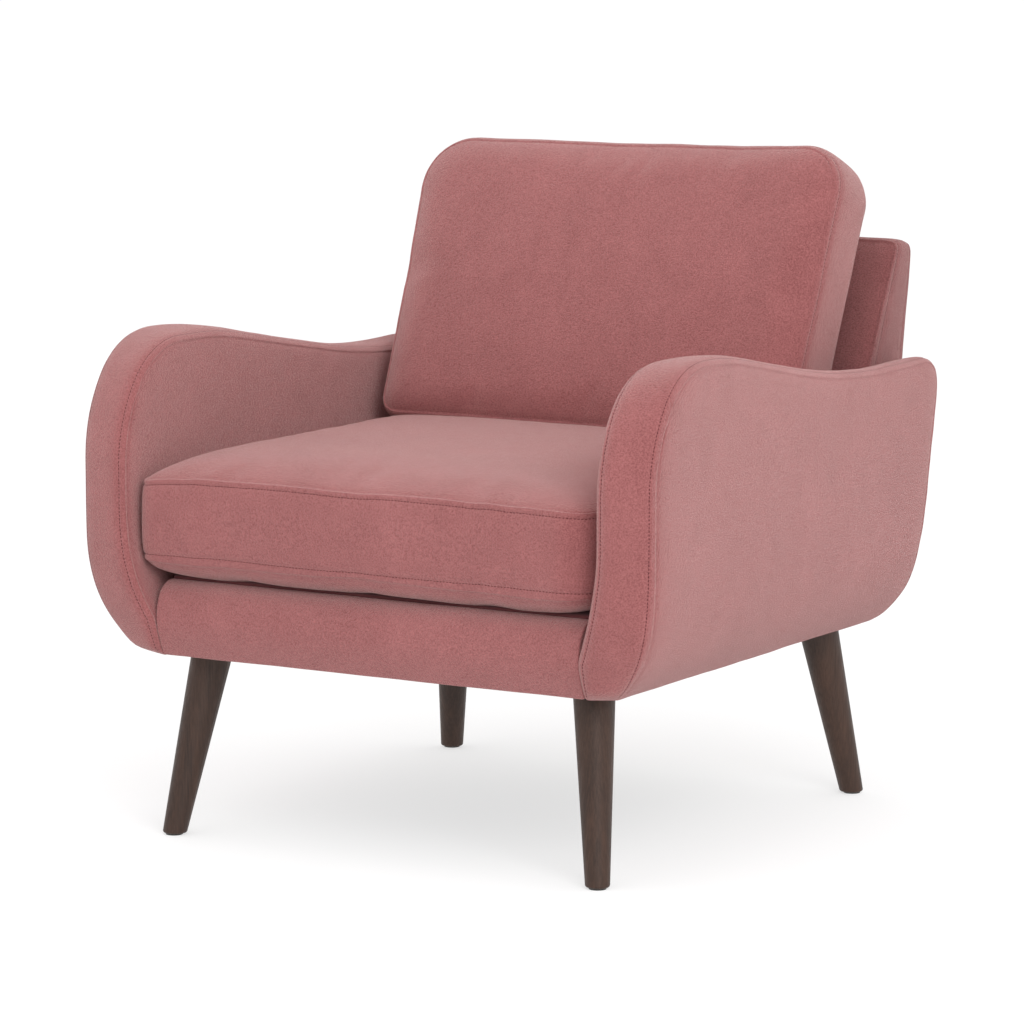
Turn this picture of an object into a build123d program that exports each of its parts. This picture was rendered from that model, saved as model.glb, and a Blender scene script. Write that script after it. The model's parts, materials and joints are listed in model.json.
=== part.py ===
from build123d import *
from math import atan2, cos, hypot, radians, sin, sqrt, tan
import os

# Upholstered armchair with two loose cushions on splayed turned legs.
# Millimetres. +Z up, the front faces -Y, +X is on the right of someone who faces the front.
# The origin is on the floor, under the middle of the chair.

# ---- Driving dimensions ------------------------------------------------------------------------

BODY_Z = 218.0             # underside of the upholstery; every height above follows it
HALF_SEAT = 314.7          # half the clear width between the arms, above the seat
ARM_THICK = 65.3           # arm, seam to seam, at seat height and above
ARM_LEAN = 30.7            # how far the arm's inner face comes in at its foot
ARM_FOOT_THICK = 31.0      # arm, seam to seam, at its foot
ARM_SEAT_FACE_Z = BODY_Z + 44.0    # top of the upright strip where the arm is bolted to the seat
ARM_TOP_Z = BODY_Z + 364.5 # crest of the arm
ARM_DIP = 55.5             # how far the arm's top line falls behind its crest
FRONT_Y = -379.0           # foremost point of the arm
ARM_TAIL_Y = 344.0         # rear top corner of the arm

COVER = 2.0                # velvet with its backing
FIT = 0.2                  # clearance between a fastener and its hole, on the radius
SLIP = 0.5                 # gap between upholstered units that are pushed together

LEG_TOP_R = 24.5
LEG_FOOT_R = 14.0
LEG_SPLAY_X = 0.1332       # sideways run of a leg for each millimetre of height
LEG_SPLAY_Y = 0.192        # fore and aft run of a leg for each millimetre of height
FOOT_IN_X = 27.7           # floor glide inside the arm's inner plane
FOOT_IN_FRONT = 50.0       # front glides behind the foremost point of the arms
FOOT_IN_REAR = 25.0        # rear glides in front of the outside back's foot
FOOT_EDGE_R = 2.5
GLIDE_R = 10.0
GLIDE_T = 2.0
GLIDE_NAIL_R = 1.5
GLIDE_NAIL_L = 14.0

TIMBER_GAP = 4.0           # covers and dust cloth under the seat timbers
DUST_T = 1.4
DUST_GAP = 0.1             # dust cloth to the timbers
DUST_EDGE = 3.0            # the dust cloth stops this far inside the covers
DUST_LEG_GAP = 1.5
RAIL_TOP_Z = BODY_Z + 74.0
TIMBER = 25.0              # thickness of the rails and posts
FRONT_RAIL_Y = -345.0      # front face of the front rail
REAR_RAIL_Y = 288.0        # front face of the rear rail
BLOCK = 80.0               # side of a corner block

PLATE = 50.0               # side of a leg plate
PLATE_T = 3.0
BOLT_R = 4.0
BOLT_IN_LEG = 40.0
BOLT_IN_BLOCK = 30.0
SCREW_R = 2.0
SCREW_HEAD_R = 3.8
SCREW_L = 24.0
SCREW_SPACING = 36.0

SPRING_COUNT = 5
SPRING_EDGE = 84.0         # outermost spring's middle to the side of the seat frame
SPRING_WIRE_R = 1.8
SPRING_HALF_W = 22.0
SPRING_BARS = 22
CLIP_W = 14.0
CLIP_D = 13.0
CLIP_WALL = 1.4

DECK_PAD_Z = BODY_Z + 82.0
DECK_PAD_T = 11.0
DECK_TAIL = 40.0           # the deck runs this far under the back

SEAT_SIDE_GAP = 12.7       # seat cushion to arm, each side
SEAT_FRONT_Y = -374.0
SEAT_REAR_Y = 222.0
SEAT_SEAM_Z = BODY_Z + 210.0   # upper seam of the seat cushion's boxing
SEAT_CROWN_Z = BODY_Z + 238.0
SEAT_CROWN_BACK = 112.0    # from the cushion's front back to its crown
SEAT_CROWN_R = 600.0
SEAT_BACK_Z = BODY_Z + 228.0   # top of the seat cushion under the back cushion
SEAT_TAIL_Z = BODY_Z + 220.0   # rear upper edge of the seat cushion
SEAT_FRONT_CORNER_R = 38.0
SEAT_REAR_CORNER_R = 24.0

BACK_GAP = 21.7            # back cushion to the arm's inner plane, each side
BACK_RAKE = 22.0           # degrees from upright
BACK_CUSHION_T = 83.0
BACK_CUSHION_TOP_Z = BODY_Z + 572.0
BACK_CUSHION_Y = 119.3     # front face of the back cushion where it meets the seat
BACK_CORNER_R = 68.0

FRAME_FOOT_Y = 322.0       # outside back at the underside of the seat
FRAME_TOP_Y = 391.0        # outside back at the top
FRAME_TOP_Z = BODY_Z + 454.0
FRAME_REAR_DROP = 4.0      # the top of the back falls this much towards the rear
FRAME_TOP_FRONT_Y = 349.0
FRAME_HIP_Y = 230.0        # front face of the back frame behind the seat cushion
FRAME_HIP_Z = BODY_Z + 218.0
POST_DEPTH = 32.0
POST_TOP_GAP = 22.0        # padding between the posts' tops and the top of the back
BACK_BOARD = 3.0
EDGE_PAD_RISE = 65.0       # where the back's edge padding starts, above the arm's hip
WEB_W = 48.0
WEB_T = 2.0
WEB_COUNT = 5
WEB_LOW_GAP = 30.0         # lowest strap's middle above the lower rail's underside
WEB_TOP_GAP = 40.0         # highest strap's middle below the posts' tops
LOWER_RAIL_GAP = 20.0      # lower rail above the deck

ARM_BOARD = 15.0
ARM_BOARD_X = 8.3          # the arm board's inner face, beyond the arm's inner plane
ARM_BOARD_INSET = 28.0     # padding round the edge of the arm board
ARM_BOLT_Z = BODY_Z + 40.0
ARM_BOLT_SPACING = 160.0
ARM_BOLT_HEAD_R = 8.0
ARM_BOLT_HEAD_T = 4.0
CLEAT_H = 28.0
CLEAT_PAD = 4.5            # padding between the arm's inner cover and its cleat
CLEAT_DROP = 4.0           # the cleat's middle lies this far under its bolts
TEE_FLANGE_R = 8.0
TEE_FLANGE_T = 1.5
TEE_BARREL_R = 5.2
TEE_BARREL_L = 9.0

ZIP_GROOVE_H = 26.0
ZIP_GROOVE_D = 6.0
ZIP_LENGTH = 500.0
ZIP_TAPE_T = 1.2
ZIP_TAPE_GAP = 1.5         # tape to the groove's sides and ends
ZIP_COIL_GAP = 4.0         # coil to the groove's ends
ZIP_COIL_H = 5.0
ZIP_COIL_T = 1.5
ZIP_SLIDER_GAP = 0.3
ZIP_SLIDER_T = 2.2
ZIP_SLIDER_L = 11.0
ZIP_SLIDER_H = 10.0
ZIP_TAB_L = 24.0
ZIP_TAB_H = 6.0
ZIP_TAB_T = 1.4
ZIP_CORNER_R = 2.5
ZIP_END_GAP = 12.0         # slider to the end of the zip when it is closed

# ---- Sizes that follow -------------------------------------------------------------------------

FOOT_X = HALF_SEAT - FOOT_IN_X
FRONT_FOOT_Y = FRONT_Y + FOOT_IN_FRONT
REAR_FOOT_Y = FRAME_FOOT_Y - FOOT_IN_REAR
ARM_DIP_Z = ARM_TOP_Z - ARM_DIP
ARM_TUCK = ARM_THICK + ARM_LEAN - ARM_FOOT_THICK
ARM_OUTER_X = HALF_SEAT + ARM_THICK
SEAT_FRAME_X = HALF_SEAT - ARM_LEAN
SPRING_SPACING = 2 * (SEAT_FRAME_X - SPRING_EDGE) / (SPRING_COUNT - 1)
TIMBER_Z = BODY_Z + TIMBER_GAP
RAIL_H = RAIL_TOP_Z - TIMBER_Z
FRONT_RAIL_BACK_Y = FRONT_RAIL_Y + TIMBER
DECK_TOP_Z = DECK_PAD_Z + DECK_PAD_T + COVER
SEAT_HALF_W = HALF_SEAT - SEAT_SIDE_GAP
SEAT_BOTTOM_Z = DECK_TOP_Z + SLIP
BACK_HALF_W = HALF_SEAT - BACK_GAP
BACK_BOTTOM_Z = SEAT_BACK_Z + 1.0
SPRING_Z = RAIL_TOP_Z + CLIP_WALL + SPRING_WIRE_R
FAR = 2000.0               # longer than any part of the chair
OVERRUN = 50.0             # how far a cutting outline runs past the shape it trims
CUT = 1.0                  # how far a hole or groove starts outside its part

REAR_SLOPE = (FRAME_TOP_Y - FRAME_FOOT_Y) / (FRAME_TOP_Z - BODY_Z)


def rear_y(z, depth=0.0):
    """The outside back's Y at a height, less a depth into the back."""
    return FRAME_FOOT_Y + REAR_SLOPE * (z - BODY_Z) - depth


def outline_corner(sketch, point):
    """The corner of a sketch that lies nearest a point, in the sketch's own plane."""
    return sketch.vertices().sort_by_distance(point)[0]


pieces = {}


# ---- Legs --------------------------------------------------------------------------------------

def leg_axis(side, end):
    """Plane square to a leg's axis with its origin at the leg's foot."""
    foot_y = FRONT_FOOT_Y if end < 0 else REAR_FOOT_Y
    return Plane(
        origin=(side * FOOT_X, foot_y, 0),
        x_dir=(1, 0, side * LEG_SPLAY_X),
        z_dir=(-side * LEG_SPLAY_X, -end * LEG_SPLAY_Y, 1),
    )


def leg_centre(side, end, z):
    """Where a leg's axis crosses a height."""
    foot_y = FRONT_FOOT_Y if end < 0 else REAR_FOOT_Y
    return (side * (FOOT_X - LEG_SPLAY_X * z), foot_y - end * LEG_SPLAY_Y * z, z)


AXIS_STRETCH = sqrt(1 + LEG_SPLAY_X ** 2 + LEG_SPLAY_Y ** 2)
LEG_AXIS_L = TIMBER_Z * AXIS_STRETCH
LEG_TAPER = (LEG_TOP_R - LEG_FOOT_R) / LEG_AXIS_L
LEG_OVERRUN = 30.0
LEG_PLACES = {
    "front_left": (-1, -1),
    "front_right": (1, -1),
    "rear_left": (-1, 1),
    "rear_right": (1, 1),
}


def hanger_bolt_rod(side, end, clearance=0.0):
    """The bolt that joins a leg to its corner block, or the hole for it."""
    axis = leg_axis(side, end)
    with BuildPart() as rod:
        with BuildSketch(axis.offset(LEG_AXIS_L - BOLT_IN_LEG - clearance)):
            Circle(BOLT_R + clearance)
        extrude(amount=BOLT_IN_LEG + BOLT_IN_BLOCK + 2 * clearance)
    return rod.part


def glide_nail(side, end, clearance=0.0):
    """The nail of a floor glide, or the hole for it."""
    foot = leg_centre(side, end, 0)
    with BuildPart() as nail:
        with BuildSketch(Plane.XY.offset(GLIDE_T)):
            with Locations((foot[0], foot[1])):
                Circle(GLIDE_NAIL_R + clearance)
        extrude(amount=GLIDE_NAIL_L + clearance)
    return nail.part


for place, (side, end) in LEG_PLACES.items():
    with BuildPart() as leg:
        axis = leg_axis(side, end)
        with BuildSketch(axis.offset(-LEG_OVERRUN)):
            Circle(LEG_FOOT_R - LEG_TAPER * LEG_OVERRUN)
        with BuildSketch(axis.offset(LEG_AXIS_L + LEG_OVERRUN)):
            Circle(LEG_TOP_R + LEG_TAPER * LEG_OVERRUN)
        loft()
        split(bisect_by=Plane.XY.offset(GLIDE_T), keep=Keep.TOP)
        split(bisect_by=Plane.XY.offset(TIMBER_Z), keep=Keep.BOTTOM)
        fillet(leg.faces().sort_by(Axis.Z)[0].edges(), radius=FOOT_EDGE_R)
        add(hanger_bolt_rod(side, end, FIT), mode=Mode.SUBTRACT)
        add(glide_nail(side, end, FIT), mode=Mode.SUBTRACT)
    pieces["leg_" + place] = leg.part

with BuildPart() as leg_glides:
    for side, end in LEG_PLACES.values():
        foot = leg_centre(side, end, 0)
        with BuildSketch():
            with Locations((foot[0], foot[1])):
                Circle(GLIDE_R)
        extrude(amount=GLIDE_T)
        add(glide_nail(side, end))
pieces["leg_glides"] = leg_glides.part

with BuildPart() as hanger_bolts:
    for side, end in LEG_PLACES.values():
        add(hanger_bolt_rod(side, end))
pieces["hanger_bolts"] = hanger_bolts.part


def plate_screw(x, y, clearance=0.0):
    """A countersunk screw up through a leg plate, or the hole for it."""
    with BuildPart() as screw:
        with BuildSketch(Plane.XY.offset(TIMBER_Z)):
            with Locations((x, y)):
                Circle(SCREW_R + clearance)
        extrude(amount=SCREW_L + clearance)
        with BuildSketch(Plane.XY.offset(TIMBER_Z)):
            with Locations((x, y)):
                Circle(SCREW_HEAD_R + clearance)
        with BuildSketch(Plane.XY.offset(TIMBER_Z + SCREW_HEAD_R - SCREW_R)):
            with Locations((x, y)):
                Circle(SCREW_R + clearance)
        loft()
    return screw.part


def plate_screw_places(side, end):
    """The four screws of one leg plate."""
    centre = leg_centre(side, end, TIMBER_Z)
    half = SCREW_SPACING / 2
    return [(centre[0] + dx, centre[1] + dy) for dx in (-half, half) for dy in (-half, half)]


def leg_plate(side, end, clearance=0.0):
    """The square steel plate over a leg, or the pocket for it."""
    centre = leg_centre(side, end, TIMBER_Z)
    with BuildPart() as plate:
        with BuildSketch(Plane.XY.offset(TIMBER_Z)):
            with Locations((centre[0], centre[1])):
                Rectangle(PLATE + 2 * clearance, PLATE + 2 * clearance)
        extrude(amount=PLATE_T + clearance)
    return plate.part


with BuildPart() as leg_plates:
    for side, end in LEG_PLACES.values():
        add(leg_plate(side, end))
    for side, end in LEG_PLACES.values():
        add(hanger_bolt_rod(side, end, FIT), mode=Mode.SUBTRACT)
        for x, y in plate_screw_places(side, end):
            add(plate_screw(x, y, FIT), mode=Mode.SUBTRACT)
pieces["leg_plates"] = leg_plates.part

with BuildPart() as plate_screws:
    for side, end in LEG_PLACES.values():
        for x, y in plate_screw_places(side, end):
            add(plate_screw(x, y))
pieces["plate_screws"] = plate_screws.part


# ---- Seat frame --------------------------------------------------------------------------------

BLOCK_MID_X = SEAT_FRAME_X - BLOCK / 2
FRONT_BLOCK_Y = FRONT_RAIL_BACK_Y + BLOCK / 2
POST_FRONT_Y = rear_y(TIMBER_Z, COVER + BACK_BOARD + POST_DEPTH)
REAR_BLOCK_Y = POST_FRONT_Y - BLOCK / 2
SIDE_RAIL_FRONT_Y = FRONT_BLOCK_Y + BLOCK / 2
SIDE_RAIL_REAR_Y = REAR_BLOCK_Y - BLOCK / 2
SIDE_RAIL_MID_Y = (SIDE_RAIL_FRONT_Y + SIDE_RAIL_REAR_Y) / 2
ARM_BOLT_YS = [SIDE_RAIL_MID_Y + step * ARM_BOLT_SPACING for step in (-1, 0, 1)]
ARM_BOARD_IN = HALF_SEAT + ARM_BOARD_X
ARM_BOARD_OUT = ARM_BOARD_IN + ARM_BOARD


def arm_bolt_row(radius, start, end):
    """Round bars along X at the three arm bolts of the right-hand arm."""
    with BuildPart() as row:
        with BuildSketch(Plane.YZ.offset(start)):
            with Locations(*[(y, ARM_BOLT_Z) for y in ARM_BOLT_YS]):
                Circle(radius)
        extrude(amount=end - start)
    return row.part


ARM_BOLT_START = SEAT_FRAME_X - TIMBER
ARM_BOLT_END = ARM_BOARD_OUT - 1.0

with BuildPart() as front_rail:
    with BuildSketch(Plane.XY.offset(TIMBER_Z)):
        with Locations((0, FRONT_RAIL_Y + TIMBER / 2)):
            Rectangle(2 * SEAT_FRAME_X, TIMBER)
    extrude(amount=RAIL_H)
pieces["front_rail"] = front_rail.part

with BuildPart() as rear_rail:
    with BuildSketch(Plane.XY.offset(TIMBER_Z)):
        with Locations((0, REAR_RAIL_Y + TIMBER / 2)):
            Rectangle(2 * (SEAT_FRAME_X - TIMBER), TIMBER)
    extrude(amount=RAIL_H)
pieces["rear_rail"] = rear_rail.part

with BuildPart() as right_side_rail:
    with BuildSketch(Plane.XY.offset(TIMBER_Z)):
        with Locations((SEAT_FRAME_X - TIMBER / 2, SIDE_RAIL_MID_Y)):
            Rectangle(TIMBER, SIDE_RAIL_REAR_Y - SIDE_RAIL_FRONT_Y)
    extrude(amount=RAIL_H)
    add(arm_bolt_row(BOLT_R + FIT, ARM_BOLT_START - 1, SEAT_FRAME_X + 1), mode=Mode.SUBTRACT)
pieces["right_side_rail"] = right_side_rail.part

with BuildPart() as left_side_rail:
    mirror(right_side_rail.part, about=Plane.YZ)
pieces["left_side_rail"] = left_side_rail.part

with BuildPart() as corner_blocks:
    with BuildSketch(Plane.XY.offset(TIMBER_Z)):
        for block_y in (FRONT_BLOCK_Y, REAR_BLOCK_Y):
            with Locations((-BLOCK_MID_X, block_y), (BLOCK_MID_X, block_y)):
                Rectangle(BLOCK, BLOCK)
    extrude(amount=RAIL_H)
    for side, end in LEG_PLACES.values():
        add(leg_plate(side, end, FIT), mode=Mode.SUBTRACT)
        add(hanger_bolt_rod(side, end, FIT), mode=Mode.SUBTRACT)
        for x, y in plate_screw_places(side, end):
            add(plate_screw(x, y, FIT), mode=Mode.SUBTRACT)
pieces["corner_blocks"] = corner_blocks.part


# ---- Seat suspension ---------------------------------------------------------------------------

SPRING_FRONT_Y = FRONT_RAIL_BACK_Y - CLIP_D / 2
SPRING_REAR_Y = REAR_RAIL_Y + CLIP_D / 2
SPRING_PITCH = (SPRING_REAR_Y - SPRING_FRONT_Y) / SPRING_BARS
SPRING_XS = [(n - (SPRING_COUNT - 1) / 2) * SPRING_SPACING for n in range(SPRING_COUNT)]


def spring_corners(x):
    """Corners of the zigzag that one spring follows from the front rail to the rear rail."""
    corners = []
    for bar in range(SPRING_BARS + 1):
        start = -SPRING_HALF_W if bar % 2 == 0 else SPRING_HALF_W
        bar_y = SPRING_FRONT_Y + bar * SPRING_PITCH
        corners.append((x + start, bar_y, SPRING_Z))
        corners.append((x - start, bar_y, SPRING_Z))
    return corners


with BuildPart() as seat_springs:
    for spring_x in SPRING_XS:
        with BuildLine() as wire:
            FilletPolyline(*spring_corners(spring_x), radius=SPRING_PITCH / 2 - 0.1)
        with BuildSketch(Plane(origin=wire.line @ 0, z_dir=wire.line % 0)):
            Circle(SPRING_WIRE_R)
        sweep()
pieces["seat_springs"] = seat_springs.part

with BuildPart() as spring_clips:
    with BuildSketch(Plane.XY.offset(RAIL_TOP_Z)):
        for clip_y in (SPRING_FRONT_Y, SPRING_REAR_Y):
            with Locations(*[(x, clip_y) for x in SPRING_XS]):
                Rectangle(CLIP_W, CLIP_D)
    extrude(amount=2 * (CLIP_WALL + SPRING_WIRE_R))
    for clip_y in (SPRING_FRONT_Y, SPRING_REAR_Y):
        with BuildSketch(Plane.YZ.offset(-SEAT_FRAME_X)):
            with Locations((clip_y, SPRING_Z)):
                Circle(SPRING_WIRE_R + FIT)
        extrude(amount=2 * SEAT_FRAME_X, mode=Mode.SUBTRACT)
pieces["spring_clips"] = spring_clips.part

DECK_FRONT_Y = FRONT_RAIL_BACK_Y - CLIP_D
DECK_REAR_Y = FRAME_HIP_Y + DECK_TAIL
DECK_HALF_W = SEAT_FRAME_X - SLIP
DECK_MID_Y = (DECK_FRONT_Y + DECK_REAR_Y) / 2

with BuildPart() as deck_pad:
    with BuildSketch(Plane.XY.offset(DECK_PAD_Z)):
        with Locations((0, DECK_MID_Y)):
            Rectangle(2 * DECK_HALF_W, DECK_REAR_Y - DECK_FRONT_Y)
    extrude(amount=DECK_PAD_T)
pieces["deck_pad"] = deck_pad.part

with BuildPart() as deck_cloth:
    with BuildSketch(Plane.XY.offset(DECK_PAD_Z + DECK_PAD_T)):
        with Locations((0, DECK_MID_Y)):
            Rectangle(2 * DECK_HALF_W, DECK_REAR_Y - DECK_FRONT_Y)
    extrude(amount=COVER)
pieces["deck_cloth"] = deck_cloth.part


# ---- Front rail upholstery ---------------------------------------------------------------------

RAIL_NOSE_Y = FRONT_Y + 12.0
RAIL_TOE_Y = FRONT_Y + 28.0
RAIL_LIP_Z = RAIL_TOP_Z + 14.0
RAIL_NOSE_Z = ARM_SEAT_FACE_Z
RAIL_NOSE_R = 60.0
RAIL_LIP_R = 30.0
LIP_REAR_Y = DECK_FRONT_Y - SLIP


def rail_outline(inset=0.0):
    """Section of the padded front rail, from its underside to the lip under the seat cushion."""
    with BuildSketch(Plane.YZ) as outline:
        with BuildLine():
            Polyline(
                (LIP_REAR_Y, RAIL_LIP_Z),
                (LIP_REAR_Y, BODY_Z),
                (RAIL_TOE_Y, BODY_Z),
                (RAIL_NOSE_Y, RAIL_NOSE_Z),
                (RAIL_NOSE_Y, RAIL_LIP_Z),
                close=True,
            )
        make_face()
        fillet(outline_corner(outline, (RAIL_NOSE_Y, RAIL_NOSE_Z)), radius=RAIL_NOSE_R)
        fillet(outline_corner(outline, (RAIL_NOSE_Y, RAIL_LIP_Z)), radius=RAIL_LIP_R)
        if inset:
            offset(amount=-inset)
    return outline.sketch


with BuildPart() as front_rail_cover:
    extrude(rail_outline(), amount=SEAT_FRAME_X - SLIP, both=True)
    extrude(rail_outline(COVER), amount=SEAT_FRAME_X, both=True, mode=Mode.SUBTRACT)
    with BuildSketch(Plane.YZ):
        with Locations((LIP_REAR_Y, (BODY_Z + RAIL_LIP_Z) / 2)):
            Rectangle(2 * COVER, FAR)
    extrude(amount=FAR, both=True, mode=Mode.SUBTRACT)
pieces["front_rail_cover"] = front_rail_cover.part

with BuildPart() as front_rail_pad:
    extrude(rail_outline(COVER), amount=SEAT_FRAME_X - SLIP, both=True)
    with BuildSketch(Plane.YZ):
        with Locations((FRONT_RAIL_Y, TIMBER_Z)):
            Rectangle(TIMBER, RAIL_H, align=(Align.MIN, Align.MIN))
        with Locations((FRONT_RAIL_Y, TIMBER_Z)):
            Rectangle(TIMBER, TIMBER, align=(Align.MIN, Align.MAX))
    extrude(amount=FAR, both=True, mode=Mode.SUBTRACT)
pieces["front_rail_pad"] = front_rail_pad.part

with BuildPart() as dust_cover:
    with BuildSketch(Plane.XY.offset(TIMBER_Z - DUST_GAP - DUST_T)):
        with Locations((0, (LIP_REAR_Y + COVER + REAR_RAIL_Y) / 2)):
            Rectangle(
                2 * (SEAT_FRAME_X - DUST_EDGE),
                REAR_RAIL_Y - LIP_REAR_Y - COVER - 2 * DUST_EDGE,
            )
        for side, end in LEG_PLACES.values():
            hole = leg_centre(side, end, TIMBER_Z)
            with Locations((hole[0], hole[1])):
                Circle(LEG_TOP_R + DUST_LEG_GAP, mode=Mode.SUBTRACT)
    extrude(amount=DUST_T)
pieces["dust_cover"] = dust_cover.part


# ---- Arms (the right-hand one; the left-hand one is its mirror image) -----------------------------

ARM_TOE = 28.5             # the arm's front edge runs back this much at its foot
ARM_CHIN_H = 75.0          # height over which it does so
ARM_CHIN_R = 320.0
ARM_BROW_H = 87.5          # the front edge starts to turn back this far under the crest
ARM_BROW_R = 160.0
ARM_SHOULDER = 61.0        # where the front edge's slanting stretch meets the crest
ARM_SHOULDER_R = 105.0
ARM_CREST_END = 167.5      # from the foremost point back to where the top line starts to fall
ARM_CREST_R = 540.0
ARM_DIP_START = 255.5      # from the rear top corner forward to where the top line levels out
ARM_DIP_R = 1200.0
ARM_TAIL_RISE = 2.0
ARM_TAIL_R = 30.0
ARM_WAIST_Y = ARM_TAIL_Y - 45.0
ARM_WAIST_Z = BODY_Z + 93.0
ARM_WAIST_R = 90.0
ARM_HEEL_Y = ARM_TAIL_Y - 41.0
ARM_HEEL_R = 14.0
ARM_TOE_R = 8.0


def arm_side_outline(inset=0.0):
    """Side view of the arm: nose, crest, dip and leaning tail."""
    corners = (
        ((FRONT_Y + ARM_TOE, BODY_Z), ARM_TOE_R),
        ((FRONT_Y, BODY_Z + ARM_CHIN_H), ARM_CHIN_R),
        ((FRONT_Y, ARM_TOP_Z - ARM_BROW_H), ARM_BROW_R),
        ((FRONT_Y + ARM_SHOULDER, ARM_TOP_Z), ARM_SHOULDER_R),
        ((FRONT_Y + ARM_CREST_END, ARM_TOP_Z), ARM_CREST_R),
        ((ARM_TAIL_Y - ARM_DIP_START, ARM_DIP_Z), ARM_DIP_R),
        ((ARM_TAIL_Y, ARM_DIP_Z + ARM_TAIL_RISE), ARM_TAIL_R),
        ((ARM_WAIST_Y, ARM_WAIST_Z), ARM_WAIST_R),
        ((ARM_HEEL_Y, BODY_Z), ARM_HEEL_R),
    )
    with BuildSketch(Plane.YZ) as outline:
        with BuildLine():
            Polyline(*[point for point, radius in corners], close=True)
        make_face()
        for point, radius in corners:
            fillet(outline_corner(outline, point), radius=radius)
        if inset:
            offset(amount=-inset)
    return outline.sketch


ARM_INNER_HIP_Z = BODY_Z + 123.0
ARM_INNER_HIP_R = 330.0
ARM_INNER_KNEE_R = 40.0
ARM_OUTER_HIP_Z = BODY_Z + 83.0
ARM_KNEE_OUT = 36.0        # how far the outer face's knee stands out from the arm's foot
ARM_OUTER_KNEE_Z = BODY_Z + 28.0
ARM_OUTER_R = 128.0
ROUND_SHARE = 0.98         # most of a wall that the rounded corners at its two ends may take up
ARM_FOOT_OVERRUN = 15.0    # the front outline runs this far under the arm


def arm_front_outline(inset=0.0):
    """Front view of the right arm: narrow at its foot, leaning out, then upright."""
    top_z = ARM_TOP_Z + OVERRUN
    knee_x = ARM_OUTER_X - ARM_TUCK + ARM_KNEE_OUT
    foot_slope = ARM_KNEE_OUT / (ARM_OUTER_KNEE_Z - BODY_Z)
    foot_x = ARM_OUTER_X - ARM_TUCK - foot_slope * ARM_FOOT_OVERRUN
    hip_out = ARM_OUTER_X - knee_x
    hip_up = ARM_OUTER_HIP_Z - ARM_OUTER_KNEE_Z
    hip_turn = atan2(hip_out, hip_up)
    knee_turn = atan2(foot_slope, 1) - hip_turn
    wall_r = ROUND_SHARE * hypot(hip_out, hip_up) / (tan(hip_turn / 2) + tan(knee_turn / 2))
    outer_r = min(ARM_OUTER_R, wall_r)
    rounded = (
        ((SEAT_FRAME_X, ARM_SEAT_FACE_Z), ARM_INNER_KNEE_R),
        ((HALF_SEAT, ARM_INNER_HIP_Z), ARM_INNER_HIP_R),
        ((ARM_OUTER_X, ARM_OUTER_HIP_Z), outer_r),
        ((knee_x, ARM_OUTER_KNEE_Z), outer_r),
    )
    with BuildSketch(Plane.XZ) as outline:
        with BuildLine():
            Polyline(
                (SEAT_FRAME_X, BODY_Z - ARM_FOOT_OVERRUN),
                (SEAT_FRAME_X, ARM_SEAT_FACE_Z),
                (HALF_SEAT, ARM_INNER_HIP_Z),
                (HALF_SEAT, top_z),
                (ARM_OUTER_X, top_z),
                (ARM_OUTER_X, ARM_OUTER_HIP_Z),
                (knee_x, ARM_OUTER_KNEE_Z),
                (foot_x, BODY_Z - ARM_FOOT_OVERRUN),
                close=True,
            )
        make_face()
        for point, radius in rounded:
            fillet(outline_corner(outline, point), radius=radius)
        if inset:
            offset(amount=-inset)
    return outline.sketch


def arm_block(side_inset=0.0, front_inset=0.0):
    """The arm's whole shape, taken in from its side and front outlines."""
    with BuildPart() as block:
        extrude(arm_side_outline(side_inset), amount=FAR / 2)
        extrude(arm_front_outline(front_inset), amount=FAR / 2, both=True, mode=Mode.INTERSECT)
    return block.part


arm_whole = arm_block()
arm_between_sides = arm_block(0.0, COVER)
arm_core = arm_block(COVER, COVER)

with BuildPart() as arm_board_blank:
    extrude(arm_side_outline(ARM_BOARD_INSET), amount=FAR / 2)
    split(bisect_by=Plane.YZ.offset(ARM_BOARD_IN), keep=Keep.TOP)
    split(bisect_by=Plane.YZ.offset(ARM_BOARD_OUT), keep=Keep.BOTTOM)

with BuildPart() as right_arm_board:
    add(arm_board_blank.part)
    add(arm_bolt_row(BOLT_R + FIT, ARM_BOARD_IN - CUT, ARM_BOARD_OUT + CUT), mode=Mode.SUBTRACT)
    add(
        arm_bolt_row(TEE_BARREL_R + FIT, ARM_BOARD_OUT - TEE_BARREL_L - FIT, ARM_BOARD_OUT + CUT),
        mode=Mode.SUBTRACT,
    )
pieces["right_arm_board"] = right_arm_board.part

CLEAT_X = SEAT_FRAME_X + COVER + CLEAT_PAD
CLEAT_Z = ARM_BOLT_Z - CLEAT_H / 2 - CLEAT_DROP
CLEAT_L = SIDE_RAIL_REAR_Y - SIDE_RAIL_FRONT_Y + BLOCK


def cleat_blank():
    """The batten between the arm board and the seat's side rail."""
    with BuildPart() as batten:
        with BuildSketch(Plane.YZ.offset(CLEAT_X)):
            with Locations((SIDE_RAIL_MID_Y, CLEAT_Z)):
                Rectangle(CLEAT_L, CLEAT_H, align=(Align.CENTER, Align.MIN))
        extrude(amount=ARM_BOARD_IN - CLEAT_X)
    return batten.part


with BuildPart() as right_arm_cleat:
    add(cleat_blank())
    add(arm_bolt_row(BOLT_R + FIT, CLEAT_X - CUT, ARM_BOARD_IN + CUT), mode=Mode.SUBTRACT)
pieces["right_arm_cleat"] = right_arm_cleat.part

with BuildPart() as right_arm_inner_pad:
    add(arm_core)
    split(bisect_by=Plane.YZ.offset(ARM_BOARD_IN), keep=Keep.BOTTOM)
    add(cleat_blank(), mode=Mode.SUBTRACT)
    add(arm_bolt_row(BOLT_R + FIT, ARM_BOLT_START, ARM_BOARD_IN + CUT), mode=Mode.SUBTRACT)
pieces["right_arm_inner_pad"] = right_arm_inner_pad.part

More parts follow.
